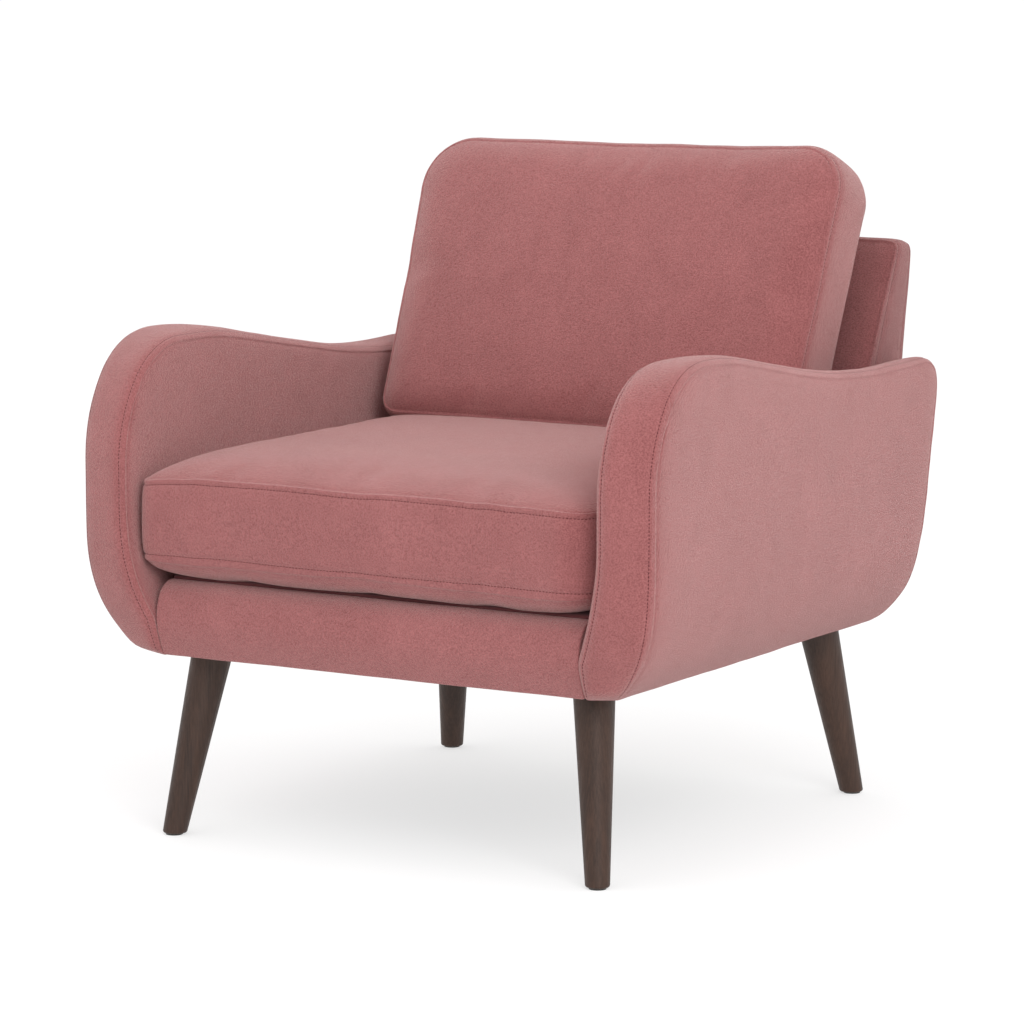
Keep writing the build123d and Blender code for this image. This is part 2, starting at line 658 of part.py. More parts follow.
with BuildPart() as right_arm_edge_pad:
    add(arm_core)
    split(bisect_by=Plane.YZ.offset(ARM_BOARD_IN), keep=Keep.TOP)
    split(bisect_by=Plane.YZ.offset(ARM_BOARD_OUT), keep=Keep.BOTTOM)
    add(arm_board_blank.part, mode=Mode.SUBTRACT)
pieces["right_arm_edge_pad"] = right_arm_edge_pad.part

with BuildPart() as right_arm_outer_pad:
    add(arm_core)
    split(bisect_by=Plane.YZ.offset(ARM_BOARD_OUT), keep=Keep.TOP)
    add(
        arm_bolt_row(TEE_FLANGE_R + FIT, ARM_BOARD_OUT, ARM_BOARD_OUT + TEE_FLANGE_T + FIT),
        mode=Mode.SUBTRACT,
    )
pieces["right_arm_outer_pad"] = right_arm_outer_pad.part

arm_skins = (arm_whole - arm_between_sides).solids().sort_by(Axis.X)

with BuildPart() as right_arm_inner_cover:
    add(arm_skins[0])
    add(arm_bolt_row(BOLT_R + FIT, ARM_BOLT_START, ARM_BOARD_IN), mode=Mode.SUBTRACT)
pieces["right_arm_inner_cover"] = right_arm_inner_cover.part

with BuildPart() as right_arm_outer_cover:
    add(arm_skins[-1])
pieces["right_arm_outer_cover"] = right_arm_outer_cover.part

with BuildPart() as right_arm_boxing:
    add(arm_between_sides)
    add(arm_core, mode=Mode.SUBTRACT)
pieces["right_arm_boxing"] = right_arm_boxing.part

with BuildPart() as right_arm_bolts:
    add(arm_bolt_row(BOLT_R, ARM_BOLT_START, ARM_BOLT_END))
    add(arm_bolt_row(ARM_BOLT_HEAD_R, ARM_BOLT_START - ARM_BOLT_HEAD_T, ARM_BOLT_START))

with BuildPart() as arm_bolts:
    add(right_arm_bolts.part)
    mirror(right_arm_bolts.part, about=Plane.YZ)
pieces["arm_bolts"] = arm_bolts.part

with BuildPart() as right_tee_nuts:
    add(arm_bolt_row(TEE_FLANGE_R, ARM_BOARD_OUT, ARM_BOARD_OUT + TEE_FLANGE_T))
    add(arm_bolt_row(TEE_BARREL_R, ARM_BOARD_OUT - TEE_BARREL_L, ARM_BOARD_OUT))
    add(
        arm_bolt_row(BOLT_R + FIT, ARM_BOARD_OUT - TEE_BARREL_L - CUT, ARM_BOARD_OUT + TEE_FLANGE_T + CUT),
        mode=Mode.SUBTRACT,
    )

with BuildPart() as tee_nuts:
    add(right_tee_nuts.part)
    mirror(right_tee_nuts.part, about=Plane.YZ)
pieces["tee_nuts"] = tee_nuts.part

for name in [name for name in pieces if name.startswith("right_arm_")]:
    with BuildPart() as left_twin:
        mirror(pieces[name], about=Plane.YZ)
    pieces[name.replace("right_", "left_")] = left_twin.part


# ---- Back frame --------------------------------------------------------------------------------

BACK_BASE_Z = DECK_TOP_Z + SLIP
FRAME_REAR_Z = FRAME_TOP_Z - FRAME_REAR_DROP
BACK_EDGE_R = 14.0
POST_TOP_Z = FRAME_TOP_Z - POST_TOP_GAP
FRAME_TOP_REAR_Y = rear_y(FRAME_REAR_Z)


def back_profile():
    """Side view of the upholstered back frame."""
    with BuildSketch(Plane.YZ) as profile:
        with BuildLine():
            Polyline(
                (FRAME_HIP_Y, BACK_BASE_Z),
                (FRAME_HIP_Y, FRAME_HIP_Z),
                (FRAME_TOP_FRONT_Y, FRAME_TOP_Z),
                (FRAME_TOP_REAR_Y, FRAME_REAR_Z),
                (FRAME_FOOT_Y, BODY_Z),
                (POST_FRONT_Y + SLIP, BODY_Z),
                (POST_FRONT_Y + SLIP, BACK_BASE_Z),
                close=True,
            )
        make_face()
        fillet(outline_corner(profile, (FRAME_TOP_REAR_Y, FRAME_REAR_Z)), radius=BACK_EDGE_R)
    return profile.sketch


def front_skin_profile():
    """Side view of the back frame's front cover."""
    with BuildSketch(Plane.YZ) as profile:
        with BuildLine():
            Polyline(
                (FRAME_HIP_Y, BACK_BASE_Z),
                (FRAME_HIP_Y, FRAME_HIP_Z),
                (FRAME_TOP_FRONT_Y, FRAME_TOP_Z),
                (FRAME_TOP_FRONT_Y + COVER, FRAME_TOP_Z + COVER),
                (FRAME_TOP_FRONT_Y + COVER, FRAME_TOP_Z - COVER),
                (FRAME_HIP_Y + COVER, FRAME_HIP_Z),
                (FRAME_HIP_Y + COVER, BACK_BASE_Z),
                close=True,
            )
        make_face()
    return profile.sketch


def rear_band_profile(near, far, low_z, high_z):
    """Side view of a layer that follows the outside back, between two depths and two heights."""
    with BuildSketch(Plane.YZ) as profile:
        with BuildLine():
            Polyline(
                (rear_y(low_z, near), low_z),
                (rear_y(low_z, far), low_z),
                (rear_y(high_z, far), high_z),
                (rear_y(high_z, near), high_z),
                close=True,
            )
        make_face()
    return profile.sketch


def between_arms_outline(inset=0.0):
    """Front view of the space that the back frame fills between the arms."""
    gap = SLIP + inset
    narrow = SEAT_FRAME_X - gap
    wide = HALF_SEAT - gap
    below = BODY_Z - OVERRUN
    above = FRAME_TOP_Z + OVERRUN
    with BuildSketch(Plane.XZ) as outline:
        with BuildLine():
            Polyline(
                (0, below),
                (narrow, below),
                (narrow, ARM_SEAT_FACE_Z),
                (wide, ARM_INNER_HIP_Z),
                (wide, above),
                (0, above),
                close=True,
            )
        make_face()
        fillet(outline_corner(outline, (narrow, ARM_SEAT_FACE_Z)), radius=ARM_INNER_KNEE_R)
        fillet(outline_corner(outline, (wide, ARM_INNER_HIP_Z)), radius=ARM_INNER_HIP_R)
        mirror(about=Plane.YZ)
    return outline.sketch


with BuildPart() as back_block:
    extrude(back_profile(), amount=FAR / 2, both=True)
    extrude(between_arms_outline(), amount=FAR / 2, both=True, mode=Mode.INTERSECT)

with BuildPart() as back_front_cover:
    add(back_block.part)
    extrude(front_skin_profile(), amount=FAR / 2, both=True, mode=Mode.INTERSECT)
pieces["back_front_cover"] = back_front_cover.part

with BuildPart() as back_outside_cover:
    add(back_block.part)
    extrude(
        rear_band_profile(-COVER, COVER, BODY_Z, FRAME_REAR_Z - BACK_EDGE_R),
        amount=FAR / 2,
        both=True,
        mode=Mode.INTERSECT,
    )
pieces["back_outside_cover"] = back_outside_cover.part

with BuildPart() as back_core:
    add(back_block.part)
    add(back_front_cover.part, mode=Mode.SUBTRACT)
    add(back_outside_cover.part, mode=Mode.SUBTRACT)

with BuildPart() as back_filling:
    add(back_core.part)
    extrude(between_arms_outline(COVER), amount=FAR / 2, both=True, mode=Mode.INTERSECT)
    split(bisect_by=Plane.XY.offset(FRAME_REAR_Z - COVER), keep=Keep.BOTTOM)
    extrude(
        rear_band_profile(COVER, FAR / 2, BODY_Z - OVERRUN, FRAME_TOP_Z + OVERRUN),
        amount=FAR / 2,
        both=True,
        mode=Mode.INTERSECT,
    )

with BuildPart() as back_boxing:
    add(back_core.part)
    add(back_filling.part, mode=Mode.SUBTRACT)
    split(bisect_by=Plane.XY.offset(RAIL_TOP_Z), keep=Keep.TOP)
pieces["back_boxing"] = back_boxing.part

POST_REAR = COVER + BACK_BOARD
POST_FRONT = POST_REAR + POST_DEPTH

with BuildPart() as right_back_post:
    extrude(rear_band_profile(POST_REAR, POST_FRONT, TIMBER_Z, POST_TOP_Z), amount=SEAT_FRAME_X)
    split(bisect_by=Plane.YZ.offset(SEAT_FRAME_X - TIMBER), keep=Keep.TOP)
pieces["right_back_post"] = right_back_post.part

with BuildPart() as left_back_post:
    mirror(right_back_post.part, about=Plane.YZ)
pieces["left_back_post"] = left_back_post.part

BACK_RAIL_H = 40.0
LOWER_RAIL_Z = DECK_TOP_Z + LOWER_RAIL_GAP

with BuildPart() as back_top_rail:
    extrude(
        rear_band_profile(POST_REAR, POST_REAR + TIMBER, POST_TOP_Z - BACK_RAIL_H, POST_TOP_Z),
        amount=SEAT_FRAME_X - TIMBER,
        both=True,
    )
pieces["back_top_rail"] = back_top_rail.part

with BuildPart() as back_lower_rail:
    extrude(
        rear_band_profile(POST_REAR, POST_REAR + TIMBER, LOWER_RAIL_Z, LOWER_RAIL_Z + BACK_RAIL_H),
        amount=SEAT_FRAME_X - TIMBER,
        both=True,
    )
pieces["back_lower_rail"] = back_lower_rail.part

with BuildPart() as back_board:
    extrude(
        rear_band_profile(COVER, POST_REAR, TIMBER_Z, POST_TOP_Z),
        amount=SEAT_FRAME_X - SLIP - COVER,
        both=True,
    )
pieces["back_board"] = back_board.part

WEB_LOW_Z = LOWER_RAIL_Z + WEB_LOW_GAP
WEB_STEP = (POST_TOP_Z - WEB_TOP_GAP - WEB_LOW_Z) / (WEB_COUNT - 1)

with BuildPart() as back_webbing:
    for strap in range(WEB_COUNT):
        strap_z = WEB_LOW_Z + strap * WEB_STEP
        extrude(
            rear_band_profile(POST_FRONT, POST_FRONT + WEB_T, strap_z - WEB_W / 2, strap_z + WEB_W / 2),
            amount=SEAT_FRAME_X,
            both=True,
        )
pieces["back_webbing"] = back_webbing.part

with BuildPart() as back_front_pad:
    add(back_filling.part)
    extrude(
        rear_band_profile(POST_FRONT + WEB_T, FAR / 2, BACK_BASE_Z, FRAME_TOP_Z),
        amount=FAR / 2,
        both=True,
        mode=Mode.INTERSECT,
    )
pieces["back_front_pad"] = back_front_pad.part

EDGE_PAD_Z = ARM_INNER_HIP_Z + EDGE_PAD_RISE

with BuildPart() as back_edge_pad:
    add(back_filling.part)
    extrude(
        rear_band_profile(-FAR / 2, POST_FRONT + WEB_T, EDGE_PAD_Z, FRAME_TOP_Z),
        amount=FAR / 2,
        both=True,
        mode=Mode.INTERSECT,
    )
    with BuildSketch(Plane.XZ):
        Rectangle(2 * SEAT_FRAME_X, POST_TOP_Z, align=(Align.CENTER, Align.MIN))
    extrude(amount=FAR / 2, both=True, mode=Mode.SUBTRACT)
pieces["back_edge_pad"] = back_edge_pad.part


# ---- Zips --------------------------------------------------------------------------------------

def zip_tape_shape(plane):
    """A zip's tape and closed coil, lying on a plane and running along its X."""
    with BuildPart() as tape:
        with BuildSketch(plane):
            Rectangle(ZIP_LENGTH - 2 * ZIP_TAPE_GAP, ZIP_GROOVE_H - 2 * ZIP_TAPE_GAP)
        extrude(amount=ZIP_TAPE_T)
        with BuildSketch(plane.offset(ZIP_TAPE_T)):
            Rectangle(ZIP_LENGTH - 2 * ZIP_COIL_GAP, ZIP_COIL_H)
        extrude(amount=ZIP_COIL_T)
    return tape.part


def zip_slider_shape(plane):
    """A zip's slider with its pull, at the closed end of the zip."""
    base = ZIP_TAPE_T + ZIP_COIL_T + ZIP_SLIDER_GAP
    start = -ZIP_LENGTH / 2 + ZIP_END_GAP
    with BuildPart() as slider:
        with BuildSketch(plane.offset(base)):
            with Locations((start, 0)):
                RectangleRounded(ZIP_SLIDER_L, ZIP_SLIDER_H, ZIP_CORNER_R)
        extrude(amount=ZIP_SLIDER_T)
        with BuildSketch(plane.offset(base)):
            with Locations((start + ZIP_TAB_L / 2, 0)):
                RectangleRounded(ZIP_TAB_L, ZIP_TAB_H, ZIP_CORNER_R)
        extrude(amount=ZIP_TAB_T)
    return slider.part


# ---- Seat cushion ------------------------------------------------------------------------------

SEAT_ZIP_Z = (SEAT_BOTTOM_Z + SEAT_SEAM_Z) / 2


def seat_cushion_shape(inset=0.0):
    """The crowned box of the seat cushion, with the groove that holds its zip."""
    with BuildPart() as box:
        with BuildSketch(Plane.YZ) as outline:
            with BuildLine():
                Polyline(
                    (SEAT_FRONT_Y, SEAT_BOTTOM_Z),
                    (SEAT_FRONT_Y, SEAT_SEAM_Z),
                    (SEAT_FRONT_Y + SEAT_CROWN_BACK, SEAT_CROWN_Z),
                    (BACK_CUSHION_Y, SEAT_BACK_Z),
                    (SEAT_REAR_Y, SEAT_TAIL_Z),
                    (SEAT_REAR_Y, SEAT_BOTTOM_Z),
                    close=True,
                )
            make_face()
            crown = (SEAT_FRONT_Y + SEAT_CROWN_BACK, SEAT_CROWN_Z)
            fillet(outline_corner(outline, crown), radius=SEAT_CROWN_R)
            if inset:
                offset(amount=-inset, kind=Kind.INTERSECTION)
        extrude(amount=SEAT_HALF_W - inset, both=True)
        upright = box.edges().filter_by(Axis.Z).group_by(Axis.Y)
        fillet(upright[0], radius=SEAT_FRONT_CORNER_R - inset)
        upright = box.edges().filter_by(Axis.Z).group_by(Axis.Y)
        fillet(upright[-1], radius=SEAT_REAR_CORNER_R - inset)
        with BuildSketch(Plane.XZ.offset(-SEAT_REAR_Y - CUT)):
            with Locations((0, SEAT_ZIP_Z)):
                Rectangle(ZIP_LENGTH + 2 * inset, ZIP_GROOVE_H + 2 * inset)
        extrude(amount=ZIP_GROOVE_D + inset + CUT, mode=Mode.SUBTRACT)
    return box.part


seat_foam_shape = seat_cushion_shape(COVER)

with BuildPart() as seat_foam:
    add(seat_foam_shape)
pieces["seat_foam"] = seat_foam.part

with BuildPart() as seat_cover:
    add(seat_cushion_shape())
    add(seat_foam_shape, mode=Mode.SUBTRACT)
pieces["seat_cover"] = seat_cover.part

SEAT_ZIP_PLANE = Plane(
    origin=(0, SEAT_REAR_Y - ZIP_GROOVE_D, SEAT_ZIP_Z),
    x_dir=(1, 0, 0),
    z_dir=(0, 1, 0),
)
pieces["seat_zip_tape"] = zip_tape_shape(SEAT_ZIP_PLANE)
pieces["seat_zip_slider"] = zip_slider_shape(SEAT_ZIP_PLANE)


# ---- Back cushion ------------------------------------------------------------------------------

RAKE_COS = cos(radians(BACK_RAKE))
RAKE_SIN = sin(radians(BACK_RAKE))
BACK_LENGTH = (BACK_CUSHION_TOP_Z - BACK_BOTTOM_Z) / RAKE_COS
BACK_PLANE = Plane(
    origin=(0, BACK_CUSHION_Y, BACK_BOTTOM_Z),
    x_dir=(-1, 0, 0),
    z_dir=(0, RAKE_COS, -RAKE_SIN),
)
BACK_ZIP_Y = BACK_CUSHION_Y + BACK_CUSHION_T / RAKE_COS / 2


def back_cushion_shape(inset=0.0):
    """The raked box of the back cushion, cut level where it stands on the seat."""
    with BuildPart() as box:
        with BuildSketch(BACK_PLANE.offset(inset)) as face:
            with Locations((0, -BACK_CUSHION_T)):
                Rectangle(
                    2 * (BACK_HALF_W - inset),
                    BACK_LENGTH + BACK_CUSHION_T - inset,
                    align=(Align.CENTER, Align.MIN),
                )
            fillet(face.vertices().group_by(Axis.Y)[-1], radius=BACK_CORNER_R - inset)
        extrude(amount=BACK_CUSHION_T - 2 * inset)
        split(bisect_by=Plane.XY.offset(BACK_BOTTOM_Z + inset), keep=Keep.TOP)
        with BuildSketch(Plane.XY.offset(BACK_BOTTOM_Z - CUT)):
            with Locations((0, BACK_ZIP_Y)):
                Rectangle(ZIP_LENGTH + 2 * inset, ZIP_GROOVE_H + 2 * inset)
        extrude(amount=ZIP_GROOVE_D + inset + CUT, mode=Mode.SUBTRACT)
    return box.part


back_fill_shape = back_cushion_shape(COVER)

with BuildPart() as back_cushion_fill:
    add(back_fill_shape)
pieces["back_cushion_fill"] = back_cushion_fill.part

with BuildPart() as back_cushion_cover:
    add(back_cushion_shape())
    add(back_fill_shape, mode=Mode.SUBTRACT)
pieces["back_cushion_cover"] = back_cushion_cover.part

BACK_ZIP_PLANE = Plane(
    origin=(0, BACK_ZIP_Y, BACK_BOTTOM_Z + ZIP_GROOVE_D),
    x_dir=(1, 0, 0),
    z_dir=(0, 0, -1),
)
pieces["back_zip_tape"] = zip_tape_shape(BACK_ZIP_PLANE)
pieces["back_zip_slider"] = zip_slider_shape(BACK_ZIP_PLANE)


# ---- Files -------------------------------------------------------------------------------------

os.makedirs("parts", exist_ok=True)
for name, piece in pieces.items():
    piece.label = name
    export_step(piece, f"parts/{name}.step")
    print(name, len(piece.solids()), round(piece.volume))
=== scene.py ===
"""Looks of an upholstered armchair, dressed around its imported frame."""

import json
import logging
import math
from dataclasses import dataclass, field
from enum import Enum
from typing import Any, Callable, Iterable, Sequence

import bmesh
import bpy
import numpy as np
from mathutils import Matrix, Vector, noise
from mathutils.bvhtree import BVHTree


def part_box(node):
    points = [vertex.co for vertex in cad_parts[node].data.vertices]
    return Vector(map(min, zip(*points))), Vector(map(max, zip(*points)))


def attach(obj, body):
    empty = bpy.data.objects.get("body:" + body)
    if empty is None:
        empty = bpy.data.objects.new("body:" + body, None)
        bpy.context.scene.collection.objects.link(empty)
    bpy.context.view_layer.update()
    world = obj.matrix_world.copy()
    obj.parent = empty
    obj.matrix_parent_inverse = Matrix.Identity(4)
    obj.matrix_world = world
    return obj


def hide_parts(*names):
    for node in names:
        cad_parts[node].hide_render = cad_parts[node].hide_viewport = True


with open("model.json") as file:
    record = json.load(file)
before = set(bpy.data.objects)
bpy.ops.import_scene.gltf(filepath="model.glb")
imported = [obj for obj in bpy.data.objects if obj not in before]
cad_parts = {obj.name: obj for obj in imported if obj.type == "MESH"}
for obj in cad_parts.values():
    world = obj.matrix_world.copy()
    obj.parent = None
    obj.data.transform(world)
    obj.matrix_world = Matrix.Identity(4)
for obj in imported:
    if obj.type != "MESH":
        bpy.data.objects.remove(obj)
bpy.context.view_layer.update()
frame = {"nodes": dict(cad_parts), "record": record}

LOG = logging.getLogger("armchair")
MM = 0.001
NEAR = 1e-6
PAD_REACH = 14 * MM       # how far from its seam a thin pad has risen most of its way
CUSHION_REACH = 16 * MM   # the same for a loose cushion
FACE_TOP = 262 * MM       # top of the upright strip at the feet of the arms
HIP = 400 * MM            # height at which the arms have their full width
Colour = tuple[float, float, float]
Corner = tuple[float, float, float]
Array = np.ndarray
Mesh = bmesh.types.BMesh
Piece = bpy.types.Object
Lift = Callable[[Array, Array], Array]
Weight = Callable[[Array], Array]


# ---- Shader building ----

class Value:
    """A shader value whose sums are written with ordinary operators."""

    def __init__(self, shader: "Shader", socket: bpy.types.NodeSocket) -> None:
        """Holds a socket and the shader that it belongs to."""
        self.shader = shader
        self.socket = socket

    def _sum(self, operation: str, left: Any, right: Any) -> "Value":
        """Adds one Math node and returns its result."""
        return self.shader.node("ShaderNodeMath", {"operation": operation}, {0: left, 1: right})

    def __add__(self, other: Any) -> "Value":
        """Sum."""
        return self._sum("ADD", self, other)

    def __mul__(self, other: Any) -> "Value":
        """Product."""
        return self._sum("MULTIPLY", self, other)


class Shader:
    """A material with a Principled shader, filled in node by node."""

    def __init__(self, name: str) -> None:
        """Makes the material and finds its shader node."""
        self.material = bpy.data.materials.new(name)
        self.material.use_nodes = True
        self.tree = self.material.node_tree
        self.surface = self.tree.nodes["Principled BSDF"]

    def node(self, kind: str, settings: dict[str, Any], inputs: dict[Any, Any],
             output: int | str = 0) -> Value:
        """Adds one node.

        Args:
            kind: the node's type.
            settings: its properties, set before its sockets.
            inputs: values or links, by socket index or name.
            output: which of its outputs is wanted.

        Returns:
            That output.
        """
        node = self.tree.nodes.new(kind)
        for key, setting in settings.items():
            setattr(node, key, setting)
        for key, given in inputs.items():
            if isinstance(given, Value):
                self.tree.links.new(given.socket, node.inputs[key])
            else:
                node.inputs[key].default_value = given
        return Value(self, node.outputs[output])

    def ramp(self, factor: Value, stops: Sequence[tuple[float, float]]) -> Value:
        """Grey ramp of a factor.

        Args:
            factor: what the ramp reads.
            stops: pairs of position and grey level.

        Returns:
            The ramp's colour output.
        """
        made = self.node("ShaderNodeValToRGB", {}, {"Fac": factor})
        elements = made.socket.node.color_ramp.elements
        while len(elements) < len(stops):
            elements.new(0.5)
        for element, (position, level) in zip(elements, stops):
            element.position = position
            element.color = (level, level, level, 1.0)
        return made

    def place(self, scale: Colour = (1.0, 1.0, 1.0), turn: Colour = (0.0, 0.0, 0.0)) -> Value:
        """Object coordinates, turned and scaled."""
        where = self.node("ShaderNodeTexCoord", {}, {}, "Object")
        return self.node("ShaderNodeMapping", {}, {"Vector": where, "Scale": scale, "Rotation": turn})

    def clouds(self, where: Value, scale: float, detail: float = 3.0, rough: float = 0.55,
               bend: float = 0.0) -> Value:
        """Noise at a number of cells per metre."""
        return self.node("ShaderNodeTexNoise", {},
                         {"Vector": where, "Scale": scale, "Detail": detail, "Roughness": rough,
                          "Distortion": bend})

    def mix(self, factor: Value | float, low: Any, high: Any) -> Value:
        """Colour between two colours."""
        ends = [end if isinstance(end, Value) else (*end, 1.0) for end in (low, high)]
        return self.node("ShaderNodeMix", {"data_type": "RGBA"}, {0: factor, 6: ends[0], 7: ends[1]}, 2)

    def bump(self, height: Value, distance: float, strength: float = 1.0) -> None:
        """Joins a height to the shader's normal."""
        made = self.node("ShaderNodeBump", {},
                         {"Height": height, "Distance": distance, "Strength": strength}, "Normal")
        self.tree.links.new(made.socket, self.surface.inputs["Normal"])

    def feed(self, **sockets: Any) -> None:
        """Sets or links the shader's own sockets, named with underscores for spaces."""
        for key, given in sockets.items():
            target = self.surface.inputs[key.replace("_", " ")]
            if isinstance(given, Value):
                self.tree.links.new(given.socket, target)
            else:
                target.default_value = given


@dataclass(frozen=True)
class Velvet:
    """Short cut pile, lighter where it has been brushed up and darker where it lies down."""

    name: str = "rose_velvet"
    laid: Colour = (0.188, 0.054, 0.054)
    raised: Colour = (0.445, 0.163, 0.162)
    glow: Colour = (1.0, 0.78, 0.75)
    # Below 1, shade darkens the tones and the sheen: painted shade, for a copy of the velvet that stands in
    # a shadow.
    shade: float = 1.0

    def make(self) -> bpy.types.Material:
        """Builds the material and returns it."""
        shader = Shader(self.name)
        where = shader.place()
        strokes = shader.clouds(shader.place((1.0, 1.0, 0.7), (0.35, 0.2, 0.5)), 30.0, 4.0, 0.6, 0.5)
        patches = shader.clouds(where, 7.0, 3.0, 0.5, 0.4)
        specks = shader.ramp(shader.clouds(where, 560.0, 3.0, 0.75), ((0.38, 0.0), (0.62, 1.0)))
        hairs = shader.clouds(shader.place((1.0, 1.0, 0.35)), 1500.0, 2.0, 0.7)
        lie = shader.ramp(strokes * 0.5 + patches * 0.5, ((0.30, 0.0), (0.70, 1.0)))
        shade = lie * 0.24 + specks * 0.54 + hairs * 0.20 + 0.03
        # Tones scaled by shade; below 1 this is painted shade.
        low, high = (tuple(self.shade * part for part in tone) for tone in (self.laid, self.raised))
        shader.feed(
            Base_Color=shader.mix(shade, low, high),
            Roughness=shader.ramp(lie, ((0.0, 0.78), (1.0, 0.92))),
            Sheen_Weight=0.62 * self.shade,
            Sheen_Roughness=0.4,
            Sheen_Tint=(*self.glow, 1.0),
            Specular_IOR_Level=0.12,
        )
        shader.bump(hairs * 0.3 + specks * 0.7, 1.2 * MM, 0.7)
        return shader.material


@dataclass(frozen=True)
class Timber:
    """Wood whose grain runs along one axis."""

    name: str
    light: Colour
    dark: Colour
    gloss: float
    lacquer: float
    along: str = "Z"
    rings: float = 26.0

    def make(self) -> bpy.types.Material:
        """Builds the material and returns it."""
        shader = Shader(self.name)
        stretch = tuple(0.06 if axis == self.along else 1.0 for axis in "XYZ")
        where = shader.place(stretch)
        figure = shader.clouds(where, self.rings, 4.0, 0.6, 1.6)
        pores = shader.ramp(shader.clouds(where, 520.0, 3.0, 0.7), ((0.42, 0.0), (0.62, 1.0)))
        tone = shader.ramp(figure, ((0.30, 0.0), (0.70, 1.0))) * 0.7 + pores * 0.3
        shader.feed(
            Base_Color=shader.mix(tone, self.dark, self.light),
            Roughness=shader.ramp(pores, ((0.0, self.gloss + 0.12), (1.0, self.gloss))),
            Coat_Weight=self.lacquer,
            Coat_Roughness=0.28,
            Specular_IOR_Level=0.4,
        )
        shader.bump(pores * 0.7 + figure * 0.3, 0.18 * MM, 0.5)
        return shader.material


@dataclass(frozen=True)
class WovenCloth:
    """Plain weave with a visible warp and weft."""

    name: str
    colour: Colour
    threads: float
    roughness: float = 0.9

    def make(self) -> bpy.types.Material:
        """Builds the material and returns it."""
        shader = Shader(self.name)
        where = shader.place()
        warp, weft = (
            shader.node("ShaderNodeTexWave", {"wave_type": "BANDS", "bands_direction": axis},
                        {"Vector": where, "Scale": self.threads, "Distortion": 0.6}, "Fac")
            for axis in "XY")
        fuzz = shader.clouds(where, 240.0)
        weave = warp * 0.35 + weft * 0.35 + fuzz * 0.3
        darker = tuple(0.55 * part for part in self.colour)
        shader.feed(Base_Color=shader.mix(weave, darker, self.colour), Roughness=self.roughness,
                    Sheen_Weight=0.15, Specular_IOR_Level=0.15)
        shader.bump(weave, 0.25 * MM, 0.7)
        return shader.material


@dataclass(frozen=True)
class Grained:
    """Thread, metal or plastic: one colour with a fine grain of a darker shade."""

    name: str
    colour: Colour
    shade: float
    grain: tuple[float, float, float]
    roughness: float
    bump: tuple[float, float]
    specular: float = 0.5
    metallic: float = 0.0
    stretch: float = 1.0

    def make(self) -> bpy.types.Material:
        """Builds the material and returns it."""
        shader = Shader(self.name)
        grain = shader.clouds(shader.place((1.0, 1.0, self.stretch)), *self.grain)
        darker = tuple(self.shade * part for part in self.colour)
        shader.feed(Base_Color=shader.mix(grain, darker, self.colour), Metallic=self.metallic,
                    Roughness=self.roughness, Specular_IOR_Level=self.specular)
        if self.metallic:
            worn = ((0.2, self.roughness + 0.1), (0.8, self.roughness))
            shader.feed(Roughness=shader.ramp(grain, worn))
        shader.bump(grain, self.bump[0] * MM, self.bump[1])
        return shader.material


def metal(name: str, colour: Colour, roughness: float) -> Grained:
    """Plated or drawn metal with light handling marks."""
    return Grained(name, colour, 0.72, (320.0, 4.0, 0.7), roughness, (0.05, 0.4), metallic=1.0, stretch=0.2)


class Finishes:
    """Every finish of the chair, made once and handed out by its slot's name."""

    def __init__(self) -> None:
        """Makes the materials."""
        finishes = {
            "velvet": Velvet(),
            # The same velvet made darker: painted shade for the shadow that the back cushion casts on the
            # back frame.
            "velvet_down": Velvet("rose_velvet_painted_shade", shade=0.72),
            "thread": Grained("thread", (0.085, 0.016, 0.020), 0.6, (1800.0, 1.0, 0.55), 0.9, (0.1, 1.0),
                              specular=0.05),
            "walnut": Timber("walnut", (0.060, 0.026, 0.014), (0.020, 0.008, 0.004), 0.45, 0.05),
            "beech": Timber("beech", (0.62, 0.42, 0.25), (0.45, 0.28, 0.15), 0.5, 0.0, "X", 22.0),
            "plywood": Timber("plywood", (0.60, 0.44, 0.27), (0.48, 0.33, 0.19), 0.6, 0.0, "Y", 14.0),
            "hardboard": Timber("hardboard", (0.26, 0.17, 0.10), (0.20, 0.12, 0.07), 0.5, 0.0, "X", 60.0),
            "lining": WovenCloth("deck_lining", (0.20, 0.062, 0.066), 260.0),
            "dust_cloth": WovenCloth("dust_cloth", (0.022, 0.022, 0.024), 120.0),
            "webbing": WovenCloth("webbing", (0.10, 0.085, 0.075), 180.0),
            "zip_tape": WovenCloth("zip_tape", (0.20, 0.062, 0.066), 420.0),
            "felt": WovenCloth("felt", (0.30, 0.29, 0.27), 60.0),
            "spring_wire": metal("spring_wire", (0.36, 0.37, 0.39), 0.34),
            "zinc_steel": metal("zinc_steel", (0.62, 0.63, 0.65), 0.3),
            "zip_brass": metal("zip_brass", (0.55, 0.40, 0.20), 0.32),
            "glide_plastic": Grained("glide_plastic", (0.045, 0.0405, 0.036), 2 / 3, (900.0, 2.0, 0.55),
                                     0.55, (0.08, 0.5)),
        }
        self.by_slot = {slot: finish.make() for slot, finish in finishes.items()}

    def dress(self, piece: Piece, slot: str) -> None:
        """Gives a piece one finish all over."""
        piece.data.materials.clear()
        piece.data.materials.append(self.by_slot[slot])

    def dress_cad(self, record: dict[str, Any], nodes: dict[str, Piece]) -> None:
        """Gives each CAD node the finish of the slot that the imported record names."""
        for entry in record["subparts"]:
            if entry["material_slot"] in self.by_slot:
                self.dress(nodes[entry["node"]], entry["material_slot"])


# ---- Outlines and patches ----

def run_of(line: Array) -> Array:
    """Distance along a line of points, at each of them."""
    return np.concatenate([[0.0], np.cumsum(np.linalg.norm(np.diff(line, axis=0), axis=1))])


